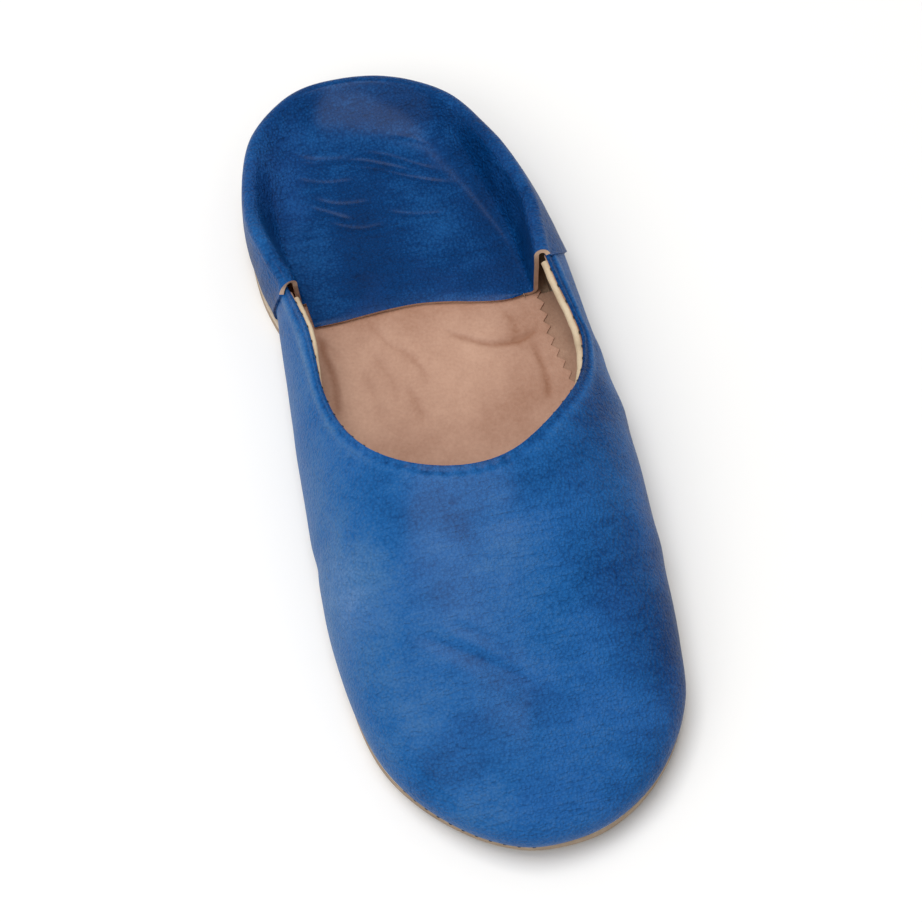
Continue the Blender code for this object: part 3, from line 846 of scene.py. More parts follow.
@dataclass(frozen=True)
class HandDyedLeather:
    """Goat leather dyed blue by hand and rubbed up: cloudy dye, fine grain, soft gloss."""

    name: str = "hand_dyed_goat_leather"
    deep: str = "00204a"
    dark: str = "00366d"
    mid: str = "1b5b9b"
    light: str = "3f6ea2"
    rubbed: str = "6388b6"
    violet: str = "3a60ac"
    gloss_tint: str = "4f9fe8"
    cloud_mm: float = 30.0
    streak_mm: float = 3.2
    wrinkle_mm: float = 1.5
    grain_mm: float = 0.95
    grain_depth_mm: float = 0.74
    wiping_turn: float = 12.0
    violet_share: float = 0.14
    roughness: float = 0.52

    def material(self) -> bpy.types.Material:
        """Make the material.

        Returns:
            The leather, whose colour follows the piece's tone of dye and of painted light and
            shade, and whose grain is in bump.
        """
        material, tree, shader = new_material(self.name)
        place = add_node(tree, "ShaderNodeTexCoord").outputs["Object"]
        # The piece's tone holds its dye together with painted highlight and painted shade
        total = add_node(tree, "ShaderNodeAttribute",
                         settings={"attribute_name": "tone"}).outputs["Fac"]
        turn = (0.0, 0.0, math.radians(self.wiping_turn))
        wiped, crimped = (
            add_node(tree, "ShaderNodeMapping", {
                "Vector": place, "Rotation": turn, "Scale": scale}).outputs[0]
            for scale in ((0.22, 1.0, 0.8), (0.13, 1.0, 0.9)))
        clouds, streaks, wrinkles, fine, hue = (
            add_node(tree, "ShaderNodeTexNoise", {
                "Vector": where, "Scale": 1000.0 / size_mm, "Detail": detail,
                "Roughness": rough, "Distortion": warp}).outputs["Fac"]
            for where, size_mm, detail, rough, warp in (
                # Uneven dye, in clouds of a few centimetres with smaller mottling in them
                (place, self.cloud_mm, 5.0, 0.62, 0.0),
                # Wiping marks and the stretched grain run across the slipper
                (wiped, self.streak_mm, 4.0, 0.6, 0.0),
                (crimped, self.wrinkle_mm, 2.0, 0.5, 0.35),
                # Pores between the pebbles of the grain
                (place, 0.6 * self.grain_mm, 3.0, 0.5, 0.0),
                # Clouds in which the dye turns a little violet
                (place, 1.3 * self.cloud_mm, 3.0, 0.55, 0.0)))
        grain = add_node(tree, "ShaderNodeTexVoronoi", {
            "Vector": place, "Scale": 1000.0 / self.grain_mm, "Randomness": 1.0},
            {"feature": "F1"}).outputs["Distance"]
        for source, share, base in ((clouds, 0.52, -0.26), (streaks, 0.24, -0.12),
                                    (grain, -0.20, 0.09)):
            part = add_node(tree, "ShaderNodeMath", {0: source, 1: share, 2: base},
                            {"operation": "MULTIPLY_ADD"})
            total = add_node(tree, "ShaderNodeMath", {0: total, 1: part.outputs[0]},
                             {"operation": "ADD"}).outputs[0]
        ramp = add_node(tree, "ShaderNodeValToRGB", {"Fac": total})
        shade_by_ramp(ramp.color_ramp, [(0.0, self.deep), (0.25, self.dark), (0.5, self.mid),
                                        (0.75, self.light), (1.0, self.rubbed)])
        hue = add_node(tree, "ShaderNodeMapRange", {
            0: hue, 1: 0.50, 2: 0.72, 3: 0.0, 4: self.violet_share})
        dyed = add_node(tree, "ShaderNodeMix", {
            0: hue.outputs[0], 6: ramp.outputs["Color"], 7: linear(self.violet)},
            {"data_type": "RGBA"})
        tree.links.new(dyed.outputs[2], shader.inputs["Base Color"])
        dull = add_node(tree, "ShaderNodeMath", {
            0: streaks, 1: 0.24, 2: self.roughness - 0.12},
            {"operation": "MULTIPLY_ADD"})
        tree.links.new(dull.outputs[0], shader.inputs["Roughness"])
        # Pebbled grain under the stretched, wrinkled one
        height = 0.0
        for source, share in ((grain, -0.80), (streaks, 1.5), (wrinkles, 1.7), (fine, 0.8)):
            height = add_node(tree, "ShaderNodeMath", {0: source, 1: share, 2: height},
                              {"operation": "MULTIPLY_ADD"}).outputs[0]
        bump = add_node(tree, "ShaderNodeBump", {
            "Height": height, "Strength": 0.85, "Distance": self.grain_depth_mm * MM})
        tree.links.new(bump.outputs[0], shader.inputs["Normal"])
        # The dye lies on the grain too, so that its own reflection is blue under a thin wax
        shader.inputs["Specular IOR Level"].default_value = 0.18
        shader.inputs["Specular Tint"].default_value = linear(self.gloss_tint)
        shader.inputs["Coat Weight"].default_value = 0.14
        shader.inputs["Coat Roughness"].default_value = 0.24
        return material


@dataclass(frozen=True)
class PlainLeather:
    """Undyed vegetable-tanned leather: warm, matte, with pores and soft stains."""

    name: str
    dark: str
    mid: str
    light: str
    pore_mm: float = 0.9
    stain_mm: float = 28.0
    roughness: float = 0.72
    bump: float = 0.35
    fibre: float = 0.0
    mottle: float = 0.26
    open_pore_mm: float = 7.0

    def material(self) -> bpy.types.Material:
        """Make the material.

        Returns:
            The leather, with stains and pores in its colour and bump.
        """
        material, tree, shader = new_material(self.name)
        place = add_node(tree, "ShaderNodeTexCoord").outputs["Object"]
        stains = add_node(tree, "ShaderNodeTexNoise", {
            "Vector": place, "Scale": 1000.0 / self.stain_mm, "Detail": 5.0, "Roughness": 0.6})
        pores = add_node(tree, "ShaderNodeTexNoise", {
            "Vector": place, "Scale": 1000.0 / self.pore_mm, "Detail": 3.0, "Roughness": 0.6})
        # Loose fibres lie in layers along a cut edge
        layers = add_node(tree, "ShaderNodeMapping", {"Vector": place, "Scale": (0.3, 0.3, 3.0)})
        fibres = add_node(tree, "ShaderNodeTexNoise", {
            "Vector": layers.outputs[0], "Scale": 1000.0 / (1.4 * self.pore_mm), "Detail": 4.0})
        both = add_node(tree, "ShaderNodeMix", {
            0: self.fibre, 2: pores.outputs["Fac"], 3: fibres.outputs["Fac"]})
        tone = add_node(tree, "ShaderNodeMath", {
            0: both.outputs[0], 1: self.mottle, 2: -0.5 * self.mottle},
            {"operation": "MULTIPLY_ADD"}).outputs[0]
        # The piece's tone: painted shade in its creases and painted light and shade in its patches
        painted_light_tone = add_node(tree, "ShaderNodeAttribute", settings={"attribute_name": "tone"})
        # A few open pores, each a dark dot
        dots = add_node(tree, "ShaderNodeTexVoronoi", {
            "Vector": place, "Scale": 1000.0 / self.open_pore_mm, "Randomness": 1.0})
        dots = add_node(tree, "ShaderNodeMapRange", {
            0: dots.outputs["Distance"], 1: 0.02, 2: 0.05, 3: -0.35, 4: 0.0})
        for source in (stains.outputs["Fac"], painted_light_tone.outputs["Fac"], dots.outputs[0]):
            tone = add_node(tree, "ShaderNodeMath", {0: source, 1: tone},
                            {"operation": "ADD"}).outputs[0]
        ramp = add_node(tree, "ShaderNodeValToRGB", {"Fac": tone})
        shade_by_ramp(ramp.color_ramp, [(0.22, self.dark), (0.5, self.mid), (0.78, self.light)])
        tree.links.new(ramp.outputs["Color"], shader.inputs["Base Color"])
        shader.inputs["Roughness"].default_value = self.roughness
        bump = add_node(tree, "ShaderNodeBump", {
            "Height": both.outputs[0], "Strength": self.bump, "Distance": 0.0004})
        tree.links.new(bump.outputs[0], shader.inputs["Normal"])
        return material


@dataclass(frozen=True)
class WaxedThread:
    """Dark waxed linen thread: nearly black, with a dull shine on its twist."""

    name: str = "waxed_linen_thread"
    colour: str = "14151c"
    twist_mm: float = 0.8

    def material(self) -> bpy.types.Material:
        """Make the material.

        Returns:
            The thread, with its twist in bump.
        """
        material, tree, shader = new_material(self.name)
        place = add_node(tree, "ShaderNodeTexCoord").outputs["Object"]
        twist = add_node(tree, "ShaderNodeTexNoise", {
            "Vector": place, "Scale": 1000.0 / self.twist_mm, "Detail": 2.0})
        bump = add_node(tree, "ShaderNodeBump", {
            "Height": twist.outputs["Fac"], "Strength": 0.4, "Distance": 0.0002})
        shader.inputs["Base Color"].default_value = linear(self.colour)
        shader.inputs["Roughness"].default_value = 0.55
        tree.links.new(bump.outputs[0], shader.inputs["Normal"])
        return material


@dataclass(frozen=True)
class StudioFloor:
    """Painted board under the slipper: near white and matte."""

    name: str = "painted_studio_floor"
    colour: str = "f4f3f1"

    def material(self) -> bpy.types.Material:
        """Make the material."""
        material, _, shader = new_material(self.name)
        shader.inputs["Base Color"].default_value = linear(self.colour)
        shader.inputs["Roughness"].default_value = 0.85
        return material


def finish(leather: HandDyedLeather | PlainLeather | WaxedThread) -> bpy.types.Material:
    """Dataclass field whose material is made once, with its owner."""
    return field(default_factory=leather.material)


@dataclass(frozen=True)
class Leathers:
    """All the finishes of the slipper."""

    upper: bpy.types.Material = finish(HandDyedLeather())
    lining: bpy.types.Material = finish(PlainLeather(
        "tan_lining_leather", "86644f", "a07d67", "b9967f", stain_mm=20.0, roughness=0.8))
    cut_edge: bpy.types.Material = finish(PlainLeather(
        "raw_cut_leather_edge", "76594a", "a5836d", "c9aa92", pore_mm=0.6, stain_mm=6.0,
        roughness=0.85, bump=0.6, fibre=0.7))
    sock: bpy.types.Material = finish(PlainLeather(
        "tan_sock_leather", "97694f", "b0866f", "c59c84", pore_mm=1.0, stain_mm=32.0,
        roughness=0.62))
    board: bpy.types.Material = finish(PlainLeather(
        "tan_board_leather", "8f755f", "a88d74", "bfa58b", stain_mm=16.0, roughness=0.8))
    binding: bpy.types.Material = finish(PlainLeather(
        "cream_binding_leather", "a48e73", "c6b193", "dac8ab", pore_mm=0.7, stain_mm=12.0,
        roughness=0.6, bump=0.25))
    sole: bpy.types.Material = finish(PlainLeather(
        "cut_sole_leather", "b5a18a", "d5c3ab", "e5d6c2", pore_mm=0.8, stain_mm=10.0,
        roughness=0.8, bump=0.5, fibre=0.6))
    # Copy of the sole leather for the sole's side: the fibres of its cut edge are real, its darker
    # colours painted shade
    sole_shaded_side: bpy.types.Material = finish(PlainLeather(
        "cut_sole_leather_shaded_side", "86725f", "a38e78", "bda891", pore_mm=0.8, stain_mm=10.0,
        roughness=0.85, bump=0.5, fibre=0.7))
    thread: bpy.types.Material = finish(WaxedThread())


@dataclass
class Floor:
    """Sole, floor board and sock."""

    form: SlipperForm
    leathers: Leathers
    wear_and_painted_light: WearAndPaintedLight
    along_steps: int = 170
    sock_steps: int = 112
    top_layer: float = 0.0013
    groove: float = 0.0002
    top_inset: float = 0.00015
    pinked_start: float = 0.305
    pinked_end: float = 0.448
    pinked_cut: float = 0.0022
    pink_pitch: float = 0.0043
    pink_depth: float = 0.0019
    close_until: float = 0.64
    sock_rise: float = 0.0022
    sock_swell_mm: float = 0.22
    climb_middle: float = 0.032
    climb_reach: float = 0.030
    climb_width: float = 0.0095

    def build(self) -> None:
        """Make and dress the layers, of which the cut sole shows two at its edge."""
        form, leathers = self.form, self.leathers
        even = np.linspace(0.0, 1.0, self.along_steps + 1)
        low = form.sole_top - self.top_layer - self.groove
        for name, inset, level, thickness, edge, leather, slot, nodes in (
            ("cut_sole", 0.0, low, low, 0.0007, leathers.sole_shaded_side, "sole_leather",
             ("outsole",)),
            ("sole_top_layer", self.top_inset, form.sole_top, self.top_layer, 0.00035,
             leathers.sole, "sole_leather", ()),
            ("floor_board", form.insole_inset, form.insole_top, form.insole_thickness, 0.0003,
             leathers.board, "board_leather", ("insole",)),
        ):
            medial, lateral = form.halves(inset, even)
            sheet = self._sheet(medial, lateral, level)
            settle(self._layer(name, sheet, thickness, edge, leather), slot, *nodes)
        self._sock()

    def _sheet(self, medial: np.ndarray, lateral: np.ndarray, level: float,
               steps: int = 40) -> np.ndarray:
        """Lay lines between the two halves of an outline.

        Args:
            medial: Medial half, heel to toe.
            lateral: Lateral half, heel to toe.
            level: Height of the sheet without the toe spring.
            steps: Steps from side to side.

        Returns:
            Points by column, heel to toe, and row, lateral to medial.
        """
        share = 0.5 - 0.5 * np.cos(np.linspace(0.0, math.pi, steps + 1))
        share = 0.5 * share + 0.5 * np.linspace(0.0, 1.0, steps + 1)
        plan = lateral[:, None, :] + (medial - lateral)[:, None, :] * share[None, :, None]
        lifted = level + self.form.toe_lift(plan[:, :, 1])
        return np.dstack([plan, lifted]) + self.form.shift

    def _layer(self, name: str, sheet: np.ndarray, thickness: float, edge: float,
               leather: bpy.types.Material, tone: np.ndarray | None = None) -> bpy.types.Object:
        """Make a layer that hangs below its sheet.

        Args:
            name: Name of the piece.
            sheet: Its upper face.
            thickness: Thickness in metres.
            edge: Width in metres of the rounding of its cut edge.
            leather: Material of the piece.
            tone: Lighter and darker places, by column and row.

        Returns:
            The piece.
        """
        piece = laid_grid(name, sheet, [leather])
        if tone is not None:
            add_values(piece, "tone", tone)
        merge_doubles()
        with editing():
            bpy.ops.mesh.normals_make_consistent(inside=False)
        middle = piece.data.polygons[len(piece.data.polygons) // 2]
        if middle.normal.z < 0.0:
            piece.data.flip_normals()
        thicken(piece, thickness)
        round_edges(piece, edge)
        shade(piece)
        return piece

    def _pinked_edges(self) -> tuple[np.ndarray, np.ndarray]:
        """Both edges of the sock, the medial one cut with pinking shears at the waist."""
        form = self.form
        plain = form.halves(form.sock_inset, np.linspace(0.0, 1.0, 45))[0]
        side_length = run_lengths(plain)[-1]
        fine = form.halves(form.sock_inset, np.linspace(0.0, 1.0, 440))[0]
        fine_shares = np.linspace(0.0, 1.0, len(fine))
        alongs = form.along_of(fine[:, 1])
        first = float(np.interp(self.pinked_start, alongs, fine_shares))
        last = float(np.interp(self.pinked_end, alongs, fine_shares))
        teeth = max(2, round((last - first) * side_length / self.pink_pitch))
        pinked = np.linspace(first, last, 2 * teeth + 1)
        before = np.linspace(0.0, first, 20)[:-1]
        after = np.concatenate([np.linspace(last, self.close_until, 36)[1:],
                                np.linspace(self.close_until, 1.0, 20)[1:]])
        shares = np.concatenate([before, pinked, after])
        ramp = 0.5 * (last - first)
        rise = np.clip((shares - first + ramp) / ramp, 0.0, 1.0)
        fall = np.clip((last - shares) / ramp, 0.0, 1.0)
        cut = self.pinked_cut * smooth_step(np.minimum(rise, fall))
        cut[len(before):len(before) + len(pinked)][1::2] += self.pink_depth
        medial, lateral = form.halves(form.sock_inset, shares)
        tangent = unit(np.gradient(medial, axis=0))
        inward = np.stack([tangent[:, 1], -tangent[:, 0]], axis=1)
        medial = medial + inward * cut[:, None]
        closer = np.arange(0.0, len(shares) - 0.9, 0.25)
        whole = np.arange(len(shares))
        both = [np.stack([np.interp(closer, whole, c) for c in line.T], axis=1)
                for line in (medial, lateral)]
        return both[0], both[1]

    def _sock(self) -> None:
        """Sock leather, with its soft creases."""
        medial, lateral = self._pinked_edges()
        sheet = self._sheet(medial, lateral, self.form.sock_top, self.sock_steps)
        sheet[:, :, 2] += self.sock_swell_mm * MM * soft_noise(sheet, 0.035, 5)
        pressed = self.wear_and_painted_light.pressed(sheet)
        sheet[:, :, 2] -= pressed
        # Creases are darkened by their depth, painted shade; the patches are painted light and
        # shade.
        tone = self.wear_and_painted_light.tone(sheet) - 0.55 * pressed / MM
        # Beside the lateral crease the sock climbs towards the wall
        gap = np.linalg.norm(sheet[:, :, :2] - sheet[:, :1, :2], axis=2)
        away = (sheet[:, :, 1] - self.climb_middle) / self.climb_reach
        near = np.clip(1.0 - gap / self.climb_width, 0.0, 1.0)
        sheet[:, :, 2] += self.sock_rise * np.clip(1.0 - away ** 2, 0.0, 1.0) * near ** 1.5
        piece = self._layer("sock", sheet, self.form.sock_thickness, 0.0003, self.leathers.sock,
                            tone)
        settle(piece, "sock_leather", "sock")


@dataclass
class Vamp:
    """Blue vamp with its wings, its lining and the rolled binding inside the throat."""

    form: SlipperForm
    leathers: Leathers
    wear_and_painted_light: WearAndPaintedLight
    columns: int = 300
    under_rows: int = 9
    wall_rows: int = 88
    leather: float = 0.0011
    rounding: float = 0.00042
    tone: float = 0.5
    lining_thickness: float = 0.0006
    lining_step: float = 0.0006
    lining_gap: float = 0.00005
    lining_turn_in: float = 0.010
    lining_cove: float = 0.0028
    binding_gap: float = 0.0001
    binding_width: float = 0.0046
    # share along the throat and how far the binding shows, from the seams to the front curve
    binding_shows: tuple = ((0.0, 1.0), (0.11, 1.0), (0.16, 0.6), (0.22, 0.0), (0.70, 0.0),
                            (0.78, 1.0), (1.0, 1.0))
    # share along the throat and thickness of the binding
    binding_thick: tuple = ((0.0, 0.0025), (0.12, 0.0023), (0.24, 0.0012), (0.68, 0.0013),
                            (0.80, 0.0030), (1.0, 0.0029))
    # distance from the throat's edge and reach, in millimetres
    ridge_mm: tuple[float, float] = (4.1, 1.5)
    trough_mm: tuple[float, float] = (1.9, 0.9)
    pucker_mm: tuple[float, float] = (2.1, 1.7)
    pucker_pitch: float = 0.0046
    medial_painted_shade: float = 0.20
    medial_shade_start: float = 0.53
    medial_shade_blend: float = 0.12
    medial_shade_climb: float = 0.20

    def build(self) -> None:
        """Make and dress the vamp, its lining and its binding."""
        form = self.form
        self.sheet = form.vamp_sheet(self.columns, self.under_rows, self.wall_rows)
        self.normals = sheet_normals(self.sheet)
        self.wings = [form.tucked_wing(side, self.under_rows, self.wall_rows)
                      for side in (Side.LATERAL, Side.MEDIAL)]
        self._shell()
        self._lining()
        self._binding()

    def _rim_relief(self) -> tuple[np.ndarray, np.ndarray]:
        """Ridge beside the throat's seam, with the puckers of the gathered front.

        Returns:
            Push outward in metres and change of tone, by column and row; the tone is painted
            highlight on the ridge and the puckers and painted shade in the trough and along the
            edge.
        """
        steps = np.linalg.norm(np.diff(self.sheet, axis=1), axis=2)
        gap = np.zeros(self.sheet.shape[:2])
        gap[:, :-1] = np.cumsum(steps[:, ::-1], axis=1)[:, ::-1] / MM
        t = np.linspace(0.0, 1.0, self.columns + 1)[:, None]
        rim = run_lengths(self.sheet[:, -1])[:, None]
        wing = np.clip(np.abs(t - 0.5) / 0.30, 0.0, 1.0) ** 1.5
        front = np.exp(-((t - 0.5) / 0.24) ** 4)
        ridge = bell(gap, *self.ridge_mm)
        trough = bell(gap, *self.trough_mm)
        wave = np.cos(2.0 * math.pi * rim / self.pucker_pitch + 1.3 * np.sin(rim / 0.0061)
                      + 0.9 * np.sin(rim / 0.0117))
        pucker = wave * front * bell(gap, *self.pucker_mm)
        push = (0.10 + 0.34 * wing) * ridge - (0.12 + 0.24 * wing) * trough + 0.08 * pucker
        # Painted highlight on the ridge and the puckers, painted shade in the trough and a painted
        # dark line along the edge
        tone = (0.02 + 0.16 * wing) * ridge - (0.04 + 0.12 * wing) * trough + 0.05 * pucker
        tone -= 0.10 * bell(gap, 0.0, 0.7)
        return push * MM, tone

    def _shell(self) -> None:
        """Outer leather, with the two ends of its wings under the quarter."""
        sheet = self.sheet.copy()
        push, tone = self._rim_relief()
        push += worked_surface(sheet, 0.16, 0.032, 3)
        pressed = self.wear_and_painted_light.pressed(sheet)
        held = held_at_foot(sheet.shape[1], self.under_rows)
        sheet += self.normals * ((push - pressed) * held)[:, :, None]
        # Creases are darkened by their depth, painted shade; the patches add dye and painted light
        # and shade.
        tone += self.tone - 0.20 * np.clip(pressed / MM, 0.0, None) + self.wear_and_painted_light.tone(sheet)
        # Painted shade: the side that faces the other foot is darker, most of all near the sole
        climb = np.clip((np.arange(sheet.shape[1]) - self.under_rows) / self.wall_rows, 0.0, 1.0)
        t = np.linspace(0.0, 1.0, self.columns + 1)
        medial = np.clip((t - self.medial_shade_start) / self.medial_shade_blend, 0.0, 1.0)
        tone -= self.medial_painted_shade * np.outer(medial, bell(climb, 0.0, self.medial_shade_climb))
        left, right = self.wings
        whole = np.concatenate([left[::-1], sheet, right])
        tones = np.concatenate([np.repeat(tone[:1], len(left), axis=0), tone,
                                np.repeat(tone[-1:], len(right), axis=0)])
        piece = laid_grid("vamp", whole, [self.leathers.upper, self.leathers.lining])
        add_values(piece, "tone", tones)
        thicken(piece, self.leather, inside=1)
        round_edges(piece, self.rounding)
        shade(piece)
        settle(piece, "upper_leather", "upper")

    def _lining(self) -> None:
        """Thin lining, turned in over the board at its foot."""
        form = self.form
        inner = self.sheet - self.normals * (self.leather + self.lining_gap)
        top = self.under_rows + 6
        s = np.linspace(0.0, 1.0, 13)[:, None]
        columns = []
        for number, column in enumerate(inner):
            edge, widest, outward = form.station(form.vamp_share(number / self.columns))
            floor = form.insole_top + self.lining_step + form.toe_lift(edge[1])
            low = np.append(edge - outward * self.lining_turn_in, floor) + form.shift
            corner = np.append(widest - outward * self.lining_cove, floor) + form.shift
            cove = (1 - s) ** 3 * low + 3 * s * (1 - s) * corner + s ** 3 * column[top]
            columns.append(np.vstack([cove, column[top + 1:-3:2]]))
        piece = laid_grid("vamp_lining", np.array(columns), [self.leathers.lining])
        thicken(piece, self.lining_thickness)
        shade(piece)
        settle(piece, "upper_leather")

    def rim_frame(self) -> tuple[np.ndarray, np.ndarray, np.ndarray]:
        """Directions along the throat's edge, down the leather and into the slipper."""
        line = self.sheet[:, -1]
        along = unit(np.gradient(line, axis=0))
        down = self.sheet[:, -7] - line
        down = unit(down - (down * along).sum(axis=1)[:, None] * along)
        return along, down, np.cross(along, down)

    def _binding(self) -> None:
        """Rolled strip, proud on the wings and tucked in at the front of the throat."""
        line = self.sheet[:, -1]
        _, down, inward = self.rim_frame()
        turn = np.linspace(0.0, 2.0 * math.pi, 29)
        squared = np.sign(np.cos(turn)) * np.abs(np.cos(turn)) ** 0.75
        rings = []
        for number in range(4, len(line) - 3):
            share = number / self.columns
            wing = float(np.interp(share, *zip(*self.binding_shows)))
            thick = float(np.interp(share, *zip(*self.binding_thick)))
            proud = -0.0013 + 0.0017 * wing
            width = self.binding_width * (0.6 + 0.4 * wing)
            wobble = 0.00006 * math.sin(number * 0.55) + 0.00005 * math.sin(number * 0.23 + 1.0)
            into = self.leather + self.binding_gap + 0.5 * thick * (1.0 + np.sin(turn)) + wobble
            fall = 0.5 * width * (1.0 - squared) - proud
            rings.append(line[number] + np.outer(fall, down[number])
                         + np.outer(into, inward[number]))
        piece = laid_grid("throat_binding_roll", np.array(rings), [self.leathers.binding],
                          closed_rows=True)
        close_ends()
        shade(piece)
        settle(piece, "binding_leather", "throat_binding")


@dataclass
class BackQuarter:
    """Back of the slipper, folded forward and down so that it lies as a flap."""

    form: SlipperForm
    leathers: Leathers
    wear_and_painted_light: WearAndPaintedLight
    columns: int = 250
    under_rows: int = 6
    wall_rows: int = 16
    roll_rows: int = 14
    fall_rows: int = 26
    flap_rows: int = 92
    leather: float = 0.0015
    tone: float = 0.28
    edge_drop_mm: float = 0.4
    edge_rows: int = 10

    def build(self) -> None:
        """Make and dress the folded back."""
        sheet = self.form.quarter_sheet(self.columns, self.under_rows, self.wall_rows,
                                        self.roll_rows, self.fall_rows, self.flap_rows)
        rows = np.arange(sheet.shape[1])
        pressed = self.wear_and_painted_light.pressed(sheet)
        push = worked_surface(sheet, 0.14, 0.030, 8) - pressed
        # The thin free edge lies down on the sock
        last = np.clip((rows - len(rows) + 1.0) / self.edge_rows + 1.0, 0.0, 1.0)
        push -= self.edge_drop_mm * MM * last ** 2
        held = held_at_foot(len(rows), self.under_rows)
        sheet = sheet + sheet_normals(sheet) * (push * held)[:, :, None]
        # Creases are darkened by their depth, painted shade; the patches add dye and painted light
        # and shade.
        tone = self.tone - 0.25 * np.clip(pressed / MM, 0.0, None) + self.wear_and_painted_light.tone(sheet)
        # Painted highlight along the crest of the roll, at the sides
        outer = self.under_rows + self.wall_rows + 1
        side = np.abs(np.linspace(-1.0, 1.0, self.columns + 1)) ** 0.7
        tone += 0.15 * np.outer(side, bell(rows, outer + 2.0, 9.0))
        wall_rim = np.where(rows <= outer, 1.0, 0.0) * np.ones((self.columns + 1, 1))
        piece = laid_grid("back_quarter", sheet, [self.leathers.upper, self.leathers.lining,
                                                  self.leathers.cut_edge])
        add_values(piece, "tone", tone)
        add_values(piece, "wall_rim", wall_rim)
        thicken(piece, self.leather, inside=1, rim=2)
        self._dye_wall_rim(piece)
        shade(piece)
        settle(piece, "upper_leather", "upper")

    @staticmethod
    def _dye_wall_rim(piece: bpy.types.Object) -> None:
        """Dye the cut edge at the side seams, which stays raw round the flap."""
        blue, raw = 0, 2
        flags = np.empty(len(piece.data.vertices), dtype=np.float32)
        piece.data.attributes["wall_rim"].data.foreach_get("value", flags)
        for face in piece.data.polygons:
            if face.material_index == raw and flags[list(face.vertices)].mean() > 0.6:
                face.material_index = blue


@dataclass
class Stitching:
    """Dark thread round the throat and round the toe, one short stitch copied along."""

    form: SlipperForm
    leathers: Leathers
    vamp: Vamp
    thread: float = 0.00055
    throat_pitch: float = 0.0058
    throat_length: float = 0.0012
    toe_pitch: float = 0.0045
    toe_length: float = 0.0012
    toe_start: float = 0.885
    toe_end: float = -0.006
    toe_turn: float = 57.0
    groove_inset: float = 0.0011
    groove_depth: float = 0.00002
    throat_margins: tuple[float, float] = (0.006, 0.004)
    toe_margin: float = 0.002

    def build(self) -> None:
        """Make both rows of stitches."""
        self._throat_row()
        self._toe_row()

    def _row(self, name: str, points: np.ndarray, runs: np.ndarray, length: float) -> None:
        """Make one stitch, copy it to each place and join the copies.

        Args:
            name: Name of the joined piece.
            points: Middle of each stitch.
            runs: Direction of each stitch.
            length: Length of a stitch.
        """
        copies = []
        for point, run in zip(points, runs):
            deselect()
            bpy.ops.mesh.primitive_uv_sphere_add(segments=8, ring_count=6, radius=0.5 * self.thread)
            stitch = bpy.context.object
            with editing():
                bpy.ops.transform.resize(value=(1.0, 1.0, length / self.thread))
            turn = Vector((0.0, 0.0, 1.0)).rotation_difference(Vector(run)).to_matrix().to_4x4()
            stitch.data.transform(Matrix.Translation(Vector(point)) @ turn)
            copies.append(stitch)
        deselect()
        for stitch in copies:
            stitch.select_set(True)
        bpy.context.view_layer.objects.active = copies[0]
        bpy.ops.object.join()
        piece = bpy.context.object
        piece.name = name
        piece.data.name = name
        shade(piece)
        piece.data.materials.append(self.leathers.thread)
        settle(piece, "upper_leather")

    def _throat_row(self) -> None:
        """Stitches that hold the binding, in the groove beside the blue edge."""
        along, down, inward = self.vamp.rim_frame()
        groove = self.vamp.sheet[:, -1] + inward * self.groove_inset + down * self.groove_depth
        total = run_lengths(groove)[-1]
        first, last = self.throat_margins
        shares = np.arange(first, total - last, self.throat_pitch) / total
        self._row("throat_stitches", resample(groove, shares), resample(along, shares),
                  self.throat_length)

    def _toe_row(self) -> None:
        """Stitches that catch the vamp's lower edge, from the lateral front to the tip."""
        form = self.form
        turn = math.radians(self.toe_turn)
        line = []
        for at in np.linspace(form.lateral_seam, form.medial_seam, 900):
            edge, widest, outward = form.station(at)
            if form.along_of(edge[1]) < self.toe_start or edge[0] > self.toe_end:
                continue
            feather = edge - outward * form.feather_inset
            place = feather + (widest - feather) * math.sin(turn)
            height = form.feather_level + form.widest_rise * (1.0 - math.cos(turn))
            line.append(np.append(place, height + form.toe_lift(place[1])))
        line = np.array(line) + form.shift
        along = unit(np.gradient(line, axis=0))
        total = run_lengths(line)[-1]
        shares = np.arange(self.toe_margin, total - self.toe_margin, self.toe_pitch) / total
        self._row("toe_stitches", resample(line, shares), resample(along, shares), self.toe_length)


